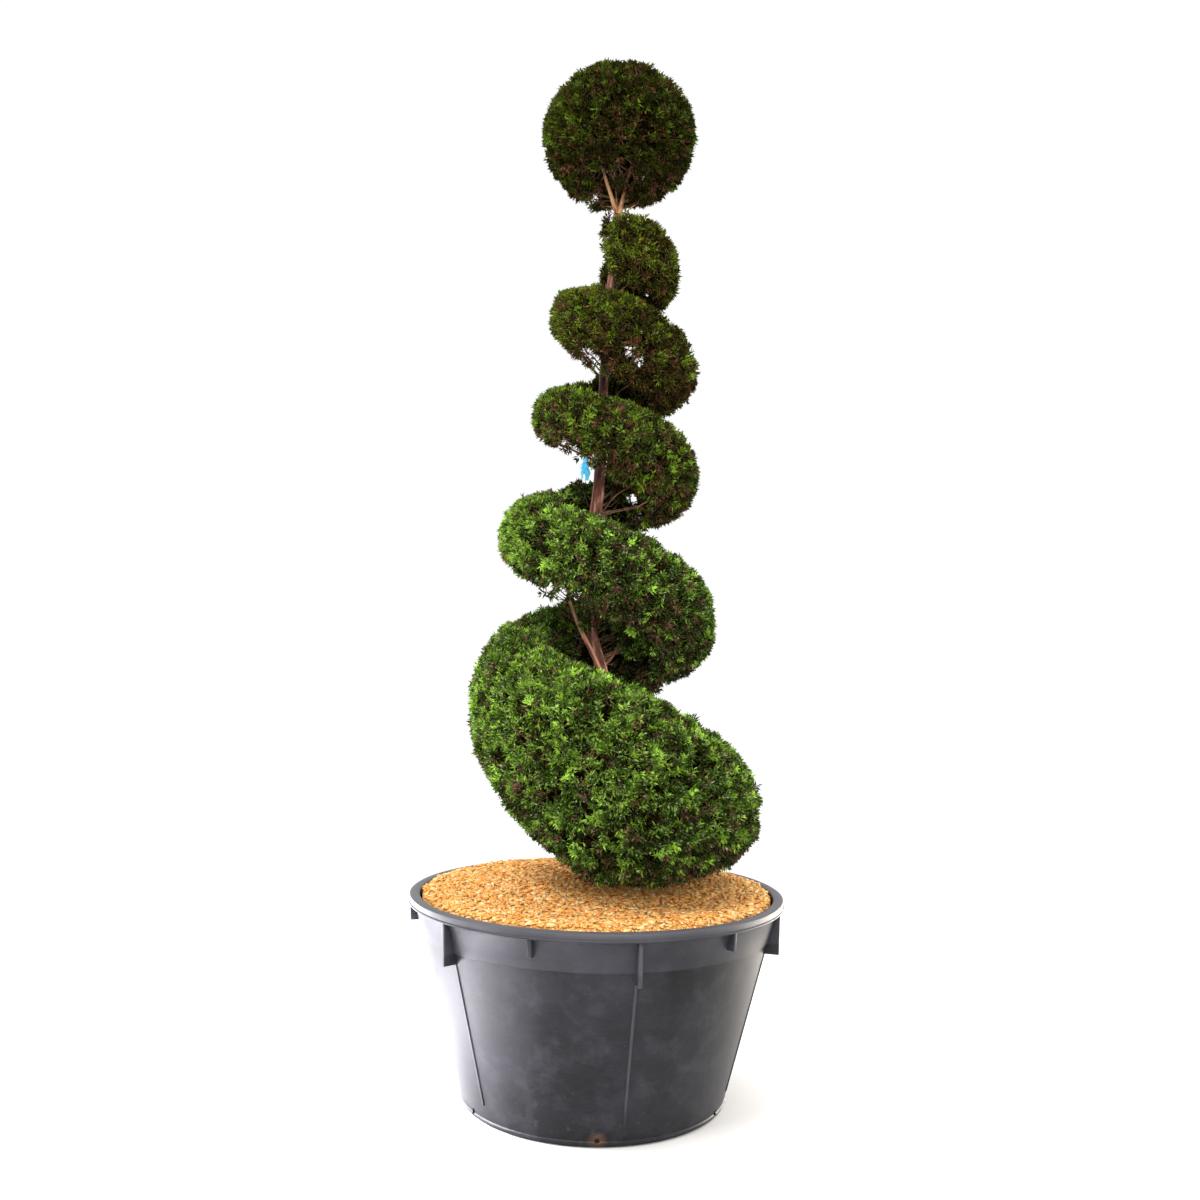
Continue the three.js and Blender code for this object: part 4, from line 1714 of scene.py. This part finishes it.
@dataclass
class Growth:
    """What grows inside one outline: branches, twigs and sprays of needles."""

    label: str
    limbs: Limbs
    roots: list[np.ndarray]  # the ends of the boughs that it grows on from
    tiers: tuple[Tier, ...]
    tufts: tuple[Tuft, ...]
    bare_twigs: tuple[BareTwigs, ...]
    seed: int
    branch_density: float = 60.0  # branch ends to each square metre of outline
    twigs_each: float = 9.0  # twigs to each branch end
    shoot_density: float = 5300.0  # shoots to each square metre of outline
    inner_density: float = 2800.0  # inner sprays to each square metre of outline
    shoot_run: float = 0.05  # how far behind its tip a shoot seeks a twig to grow from
    shoot_root: float = 0.0013  # a shoot's radius where it leaves the twig
    tip_inset: float = 0.0085  # how far short of the outline a shoot stops for its needles
    hollow: float = 0.02  # how deep the hollows between clumps are
    new_proud: float = 0.003  # how far new growth stands out
    curl: float = 0.9  # how far a shoot's end turns aside from its stem
    browned: float = 0.3  # the share of the dark sprays on the underside that are brown
    wood: list[tuple[np.ndarray, np.ndarray]] = field(default_factory=list)
    rng: np.random.Generator = field(init=False)
    outline: Outline = field(init=False)
    mass_tree: BVHTree = field(init=False)
    mass_tier: np.ndarray = field(init=False)

    def __post_init__(self) -> None:
        """Reads the outline, and the tier of each triangle of the CAD masses."""
        self.rng = np.random.default_rng(self.seed)
        self.outline = Outline(tuple(name for tier in self.tiers for name in tier.nodes))
        corners, faces, owners, shift = [], [], [], 0
        for number, tier in enumerate(self.tiers):
            for node in (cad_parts[name] for name in tier.nodes):
                corners.append(corners_of(node))
                faces.append(triangles_of(node) + shift)
                owners += [number] * len(faces[-1])
                shift += len(corners[-1])
        self.mass_tree = BVHTree.FromPolygons(np.vstack(corners).tolist(), np.vstack(faces).tolist())
        self.mass_tier = np.array(owners)

    def _tier_of(self, points: np.ndarray) -> np.ndarray:
        """The tier that each point belongs to, by the nearest CAD mass."""
        return self.mass_tier[[self.mass_tree.find_nearest(Vector(p))[2] for p in points]]

    def _sites(self, count: int) -> tuple[np.ndarray, np.ndarray]:
        """Draws points spread evenly over the outline.

        Args:
            count: How many points to draw.

        Returns:
            The points and the skin's normals there.
        """
        skin = self.outline
        chance = (np.arange(count) + self.rng.random(count)) / count
        chosen = np.searchsorted(skin.running_area, chance * skin.area)
        faces = skin.faces[np.minimum(chosen, len(skin.faces) - 1)]
        u, v = self.rng.random((2, count))
        over = u + v > 1
        u[over], v[over] = 1 - u[over], 1 - v[over]
        weight = np.stack([1 - u - v, u, v], axis=1)[:, :, None]
        return (skin.points[faces] * weight).sum(1), unit((skin.normals[faces] * weight).sum(1))

    def _bareness(self, points: np.ndarray, normals: np.ndarray) -> np.ndarray:
        """How bare the plant is, from 0 on the clipped outside to nearly 1 by the trunk."""
        out = (points - self.limbs.axis(points[:, 2])) * np.array([1, 1, 0])
        distance = np.linalg.norm(out, axis=1)
        facing = (unit(out) * normals).sum(1)
        inward = smoothstep(-facing, 0.1, 0.75) * smoothstep(-distance, -0.3, -0.1)
        under = smoothstep(-normals[:, 2], 0.3, 0.9) * smoothstep(-distance, -0.2, -0.07)
        return np.clip(0.5 * inward + 0.65 * under, 0, 0.75)

    def _inside(self, count: int, share: float, most: float) -> np.ndarray:
        """Draws points under the outline.

        Args:
            count: How many.
            share: How deep, as a share of the mass's thickness there.
            most: The greatest depth, in metres.

        Returns:
            The points.
        """
        points, normals = self._sites(count)
        depth = self.outline.depths(points, normals) * share * self.rng.uniform(0.75, 1.15, count)
        return points - normals * np.minimum(depth, most)[:, None]

    def _knees(self, starts: np.ndarray, ends: np.ndarray, bow: float) -> np.ndarray:
        """Where twigs bend: halfway, moved aside at random by this share of their length."""
        length = np.linalg.norm(ends - starts, axis=1)[:, None]
        return (starts + ends) / 2 + self.rng.normal(0, bow, starts.shape) * length

    def _add_twigs(self, *twigs: np.ndarray, sides: int = 4) -> None:
        """Adds the twigs that cross no gap.

        Args:
            twigs: Their starts, knees and ends, and their radii at their starts and knees.
            sides: The number of sides.
        """
        clear = ~in_gap((twigs[1] + twigs[2]) / 2, 0.004)
        starts, knees, ends, root, tip = (values[clear] for values in twigs)
        self.wood.append(rods([(starts, root), (knees, tip)], ends, sides))

    def _branches(self) -> np.ndarray:
        """Grows the branches on from the boughs.

        Each step joins the free branch end that is nearest to the growing tree, counted with
        part of the way back along it, so branches fan out rather than follow one another.

        Returns:
            The branch ends.
        """
        count = max(int(self.outline.area * self.branch_density), 24)
        ends = self._inside(count, 0.5, 0.2)
        tree, back, order = [], [], []
        free, best, link = np.ones(count, dtype=bool), np.full(count, FAR), np.zeros(count, dtype=int)

        def add(node: np.ndarray, way_back: float) -> None:
            """Adds a node to the tree, and links the free ends that it is nearest to."""
            cost = np.linalg.norm(ends - node, axis=1) + 0.45 * way_back
            nearer = free & (cost < best)
            link[nearer], best[nearer] = len(tree), cost[nearer]
            tree.append(node)
            back.append(way_back)

        for root in self.roots:
            add(root, 0.0)
        for _ in range(count):
            chosen = int(np.argmin(np.where(free, best, FAR)))
            free[chosen] = False
            order.append(chosen)
            source = link[chosen]
            add(ends[chosen], back[source] + np.linalg.norm(ends[chosen] - tree[source]))
        carried = np.ones(len(tree))
        for step in reversed(range(count)):
            carried[link[order[step]]] += carried[len(self.roots) + step]
        starts, stops = np.array([tree[link[end]] for end in order]), ends[order]
        thick = 0.0016 * carried[len(self.roots):] ** 0.42
        knees = self._knees(starts, stops, 0.09)
        self._add_twigs(starts, knees, stops, np.minimum(thick * 1.15, 0.011), thick, sides=5)
        return ends

    def _twigs(self, branch_ends: np.ndarray) -> np.ndarray:
        """Grows twigs from the branch ends to just under the outline.

        Args:
            branch_ends: The branch ends.

        Returns:
            The twigs' ends.
        """
        count = int(len(branch_ends) * self.twigs_each)
        ends = self._inside(count, 0.3, 0.075)
        starts = nearest(branch_ends, ends)
        knees = self._knees(starts, ends, 0.1)
        thick = self.rng.uniform(0.0017, 0.0028, count)
        self._add_twigs(starts, knees, ends, thick * 1.3, thick)
        return ends

    def _bare_twigs(self) -> None:
        """Adds the bare twigs, which cross the gaps."""
        for group in self.bare_twigs:
            spread = self.rng.normal(0, group.spread, (2, group.count, 3))
            x, z = beside(group.node, group.across, group.up)
            ends = np.array([x, group.y, z]) + spread[0]
            starts = self.limbs.axis(z - group.fall + spread[1, :, 2])
            knees = 0.5 * (starts + ends) + 0.5 * spread[1] + np.array([0.0, 0.3 * group.y, -group.sag])
            thick = self.rng.uniform(0.0012, 0.0022, group.count)
            self.wood.append(rods([(starts, thick * 1.5), (knees, thick)], ends, 4))

    def _shoot_ways(self, normals: np.ndarray, outward: float) -> np.ndarray:
        """Directions that shoots grow in: outwards, aside at random and a little up."""
        aside = unit(np.cross(normals, self.rng.normal(0, 1, normals.shape)))
        lean = self.rng.uniform(0.25, 1.3, len(normals))[:, None]
        return unit(outward * normals + lean * aside + 0.25 * UP)

    def _flats(self, ways: np.ndarray, normals: np.ndarray, spread: float) -> np.ndarray:
        """Directions that the sprays' flat sides look in: mostly outwards."""
        side = unit(np.cross(ways, normals))
        turn = self.rng.normal(0, spread, len(ways))[:, None]
        return np.cross(side, ways) * np.cos(turn) + side * np.sin(turn)

    def _tints(
        self, points: np.ndarray, luck_and_painted_shade: np.ndarray, bare: np.ndarray, tiers: np.ndarray
    ) -> np.ndarray:
        """Deals a tint to each spray, and new growth in small tufts.

        Args:
            points: The sprays' places.
            luck_and_painted_shade: The lower, the brighter.
            bare: How bare the plant is there.
            tiers: The sprays' tiers.

        Returns:
            Each spray's tint, as its value.
        """
        limits = np.cumsum([tier.shares for tier in self.tiers], axis=1)[tiers]
        tints = Tint.BRIGHT.value + (luck_and_painted_shade[:, None] > limits).sum(1)
        tree = kd_tree(points)
        for number, tier in enumerate(self.tiers):
            own = np.flatnonzero((tiers == number) & (bare < 0.2))
            for middle in self.rng.choice(own, int(tier.fresh * len(own) / self.shoot_density)):
                for _, near, _ in tree.find_range(points[middle], self.rng.uniform(0.004, 0.019)):
                    tints[near] = Tint.NEW.value
        return tints

    def _clipped_shoots(self, twig_ends: np.ndarray) -> Shoots:
        """Grows the shoots that end at the clipped outline, each from a twig's end behind it.

        Args:
            twig_ends: The twigs' ends.

        Returns:
            The shoots.
        """
        count = int(self.outline.area * self.shoot_density)
        points, normals = self._sites(count)
        bare = self._bareness(points, normals)
        clump = 0.5 * mottle(points, 0.07, self.seed) + 0.6 * mottle(points, 0.034, self.seed + 7)
        under = smoothstep(-normals[:, 2], 0.1, 0.85)
        full = np.clip(0.95 + 0.9 * clump, 0.14, 1.0) * (1 - bare) * (1 - 0.15 * under)
        keep = (self.rng.random(count) < full) & ~in_gap(points - normals * 0.012, 0.008)
        points, normals, bare, clump, under = (a[keep] for a in (points, normals, bare, clump, under))
        count, tiers = len(points), self._tier_of(points)
        # Painted light and shade: besides chance, darker tints go in the hollows between clumps, near the
        # trunk and on the undersides, and brighter tints go on sprays turned up and to the left, towards
        # the key light.
        luck_and_painted_shade = 0.5 * self.rng.random(count) - 0.36 * mottle(points, 0.028, self.seed + 11)
        luck_and_painted_shade += 0.1 * mottle(points, 0.35, self.seed + 3) - 0.2 * clump + 0.35 * bare
        luck_and_painted_shade += 0.2 * under + normals @ np.array([0.1, 0.0, -0.12])
        tints = self._tints(points, np.argsort(np.argsort(luck_and_painted_shade)) / count, bare, tiers)
        browned = (tints == Tint.DARK.value) & (self.rng.random(count) < self.browned * under)
        tints[browned] = Tint.SPENT.value
        lean = self._shoot_ways(normals, 0.8)
        stray = np.where(self.rng.random(count) < 0.03, self.rng.uniform(0.003, 0.012, count), 0)
        sink = self.rng.uniform(-0.003, 0.009, count) + self.hollow * np.clip(-clump, 0, 1)
        sink += self.tip_inset - stray - self.new_proud * (tints == Tint.NEW.value)
        tips = points - normals * sink[:, None]
        starts = nearest(twig_ends, tips - lean * self.shoot_run)
        self.wood.append(rods([(starts, self.shoot_root)], tips, 3))
        ways = unit(unit(tips - starts) + self.curl * lean)
        return Shoots(tips, ways, self._flats(ways, normals, 1.5), tiers, tints)

    def _loose_shoots(self, tuft: Tuft) -> Shoots:
        """Grows the shoots of one tuft, and the few twigs that bear them, from the trunk.

        Args:
            tuft: The tuft.

        Returns:
            The shoots.
        """
        centre = np.array([tuft.x, tuft.y, tuft.z])
        half = np.array([tuft.half_width, tuft.half_depth, tuft.half_height])

        def scatter(count: int, share: float) -> np.ndarray:
            """Points inside this share of the tuft."""
            reach = self.rng.random(count)[:, None] ** (1 / 3)
            return centre + unit(self.rng.normal(0, 1, (count, 3))) * reach * half * share

        twigs = scatter(max(tuft.sprays // 18, 3), 0.8)
        feet = self.limbs.axis(twigs[:, 2] - tuft.fall * self.rng.uniform(0.5, 1.2, len(twigs)))
        knees = (feet + twigs) / 2 + self.rng.normal(0, 0.012, twigs.shape)
        thick = self.rng.uniform(0.0008, 0.0015, len(twigs))
        self._add_twigs(feet, knees, twigs, thick * 1.4, thick)
        tips = scatter(tuft.sprays, 1.0)
        tips = tips[~in_gap(tips, 0.012)]
        starts = nearest(twigs, tips + self.rng.normal(0, 0.012, tips.shape))
        self.wood.append(rods([(starts, self.shoot_root)], tips, 3))
        ways = unit(tips - starts)
        tints = self.rng.choice(len(Tint), len(tips), p=[0.0, 0.1, 0.28, 0.15, 0.47])
        return Shoots(tips, ways, self._flats(ways, unit(tips - centre), 0.9), self._tier_of(tips), tints)

    def _outer(self, twig_ends: np.ndarray) -> tuple[Shoots, np.ndarray, np.ndarray]:
        """Grows the shoots, clipped and loose, and their sprays.

        Args:
            twig_ends: The twigs' ends.

        Returns:
            The shoots, their needles and one needle's triangles.
        """
        parts = [self._clipped_shoots(twig_ends), *map(self._loose_shoots, self.tufts)]
        columns = zip(*(vars(part).values() for part in parts))
        shoots = Shoots(*(np.concatenate(column) for column in columns))
        return shoots, *OUTER_SPRAY.grow(shoots.tips, shoots.ways, shoots.flats, self.rng)

    def _inner(self) -> tuple[np.ndarray, np.ndarray, np.ndarray]:
        """Grows the sprays under the outer ones, coloured dark partly as painted shade of the plant's
        inside.

        Returns:
            Each spray's tier, their needles and one needle's triangles.
        """
        count = int(self.outline.area * self.inner_density)
        points, normals = self._sites(count)
        bare, depth = self._bareness(points, normals), self.outline.depths(points, normals)
        sink = np.minimum(self.rng.uniform(0.026, 0.095, count), 0.5 * depth)
        ways = self._shoot_ways(normals, 0.5)
        tips = points - normals * sink[:, None]
        keep = (self.rng.random(count) > 0.5 * bare) & (depth > 0.06) & ~in_gap(tips - ways * 0.02, 0.018)
        normals, ways, tips = (a[keep] for a in (normals, ways, tips))
        flats = self._flats(ways, normals, 0.8)
        return self._tier_of(tips), *INNER_SPRAY.grow(tips, ways, flats, self.rng)

    def build(self) -> None:
        """Grows everything, and makes its pieces."""
        twig_ends = self._twigs(self._branches())
        self._bare_twigs()
        shoots, outer, outer_faces = self._outer(twig_ends)
        inner_tiers, inner, inner_faces = self._inner()
        for number, tier in enumerate(self.tiers):
            for tint, colour in zip(Tint, tier.colours):
                chosen = outer[(shoots.tiers == number) & (shoots.tints == tint.value)]
                name = f"needles_{tier.name}_{tint.name.lower()}"
                # Dark and brown sprays get less of the painted highlight.
                turned = 0.32 if tint in (Tint.DARK, Tint.SPENT) else 0.75
                finish = NeedleFinish(name, colour, tier.pale, turned)
                dress(needle_piece(name, chosen, outer_faces), finish, tier.slot, *tier.nodes)
            name = f"inner_sprays_{tier.name}"
            piece = needle_piece(name, inner[inner_tiers == number], inner_faces)
            dress(piece, NeedleFinish(name, tier.inner, tier.inner, 0.0, 0.7, 0.5), tier.slot)
        shifts = np.cumsum([0, *(len(points) for points, _ in self.wood)])
        points = np.vstack([points for points, _ in self.wood])
        faces = np.vstack([faces + shift for (_, faces), shift in zip(self.wood, shifts)])
        name = f"twigs_{self.label}"
        dress(from_arrays(name, points, faces), TwigFinish(name), "bark")
        log.info("%s: %.2f m2, %d sprays", self.label, self.outline.area, len(outer))


@dataclass
class Foliage:
    """All the foliage: the spiral band and the ball."""

    limbs: Limbs
    seed: int = 5

    def build(self) -> None:
        """Grows the band and the ball."""
        band = [tip for name, tip in self.limbs.tips.items() if "ball" not in name]
        ball = [tip for name, tip in self.limbs.tips.items() if "ball" in name]
        Growth("band", self.limbs, band, BAND_TIERS, BAND_TUFTS, BARE_TWIGS, self.seed).build()
        Growth("ball", self.limbs, ball, BALL_TIERS, BALL_TUFTS, (), self.seed + 1).build()


# ---- studio


@dataclass(frozen=True)
class SoftBox:
    """A rectangular soft light that looks at a place on the plant."""

    name: str
    place: tuple[float, float, float]
    target: tuple[float, float, float]
    width: float
    height: float
    radiance: float
    colour: Colour

    def build(self) -> None:
        """Adds the light."""
        light = bpy.data.lights.new(self.name, "AREA")
        light.shape = "RECTANGLE"
        light.size, light.size_y = self.width, self.height
        light.energy = self.radiance * math.pi * self.width * self.height
        light.color = self.colour
        lamp = added(self.name, light)
        lamp.location = self.place
        aim = Vector(self.target) - Vector(self.place)
        lamp.rotation_euler = aim.to_track_quat("-Z", "Y").to_euler()


MIDDLE, LOW = (0.0, 0.0, 1.6), (0.0, 0.0, 0.3)
SOFT_BOXES = (
    SoftBox("key", (-2.4, -3.4, 5.6), MIDDLE, 1.6, 1.6, 31.0, (1.0, 0.98, 0.94)),
    SoftBox("front", (0.8, -4.4, 2.6), MIDDLE, 1.6, 1.6, 11.0, (1.0, 0.98, 0.95)),
    SoftBox("left_side", (-1.9, 0.75, 0.35), LOW, 2.2, 0.8, 16.0, (0.94, 0.93, 1.0)),
    SoftBox("right_side", (1.9, 0.85, 0.35), LOW, 1.9, 0.8, 17.0, (1.0, 0.92, 0.8)),
    SoftBox("left_low", (-1.15, -0.2, 0.5), (-1.15, -0.2, 0.0), 0.5, 0.9, 84.0, (0.93, 0.92, 1.0)),
)


@dataclass(frozen=True)
class Studio:
    """Pale floor, soft lights and the camera."""

    floor_size: float = 60.0
    sensor: float = 36.0
    focal: float = 34.47
    pitch: float = 5.85
    roll: float = 1.19
    shift_y: float = -0.05
    surround: float = 1.02
    overhead: float = 2.3  # strength of the even light from above, too wide for hard shadows

    def _camera(self) -> None:
        """Sets the camera."""
        data = bpy.data.cameras.new("camera")
        data.sensor_width, data.lens, data.shift_y = self.sensor, self.focal, self.shift_y
        camera = added("camera", data)
        camera.location = VIEWPOINT
        turn = Matrix.Rotation(math.radians(90 + self.pitch), 3, "X")
        turn = turn @ Matrix.Rotation(math.radians(self.roll), 3, "Z")
        camera.rotation_euler = turn.to_euler()
        bpy.context.scene.camera = camera

    def _lights(self) -> None:
        """Lights the studio evenly from all round, from above and with the soft boxes."""
        world = bpy.data.worlds.new("studio")
        world.use_nodes = True
        background = world.node_tree.nodes["Background"]
        background.inputs["Color"].default_value = (1.0, 1.0, 1.0, 1.0)
        background.inputs["Strength"].default_value = self.surround
        bpy.context.scene.world = world
        light = bpy.data.lights.new("overhead", "SUN")
        light.energy, light.angle = self.overhead, math.radians(70)
        added("overhead", light).location = (0.0, 0.0, 6.0)
        for soft_box in SOFT_BOXES:
            soft_box.build()

    def build(self) -> None:
        """Makes the studio."""
        grid, size = bpy.ops.mesh.primitive_grid_add, self.floor_size
        floor = primitive(grid, x_subdivisions=4, y_subdivisions=4, size=size, location=(0, 0, -0.001))
        floor.name = "studio_floor"
        floor.data.materials.append(FloorFinish("studio_floor").make())
        self._camera()
        self._lights()
        bpy.context.scene.view_settings.view_transform = "Standard"


def main() -> None:
    """Builds every piece in order."""
    logging.basicConfig(level=logging.INFO, format="%(message)s")
    limbs = Limbs()
    for part in (Studio(), Tub(), ChipMound(), limbs, MarkerTape(), Foliage(limbs)):
        part.build()
        log.info("%s", type(part).__name__)


if __name__ == "__main__":
    main()
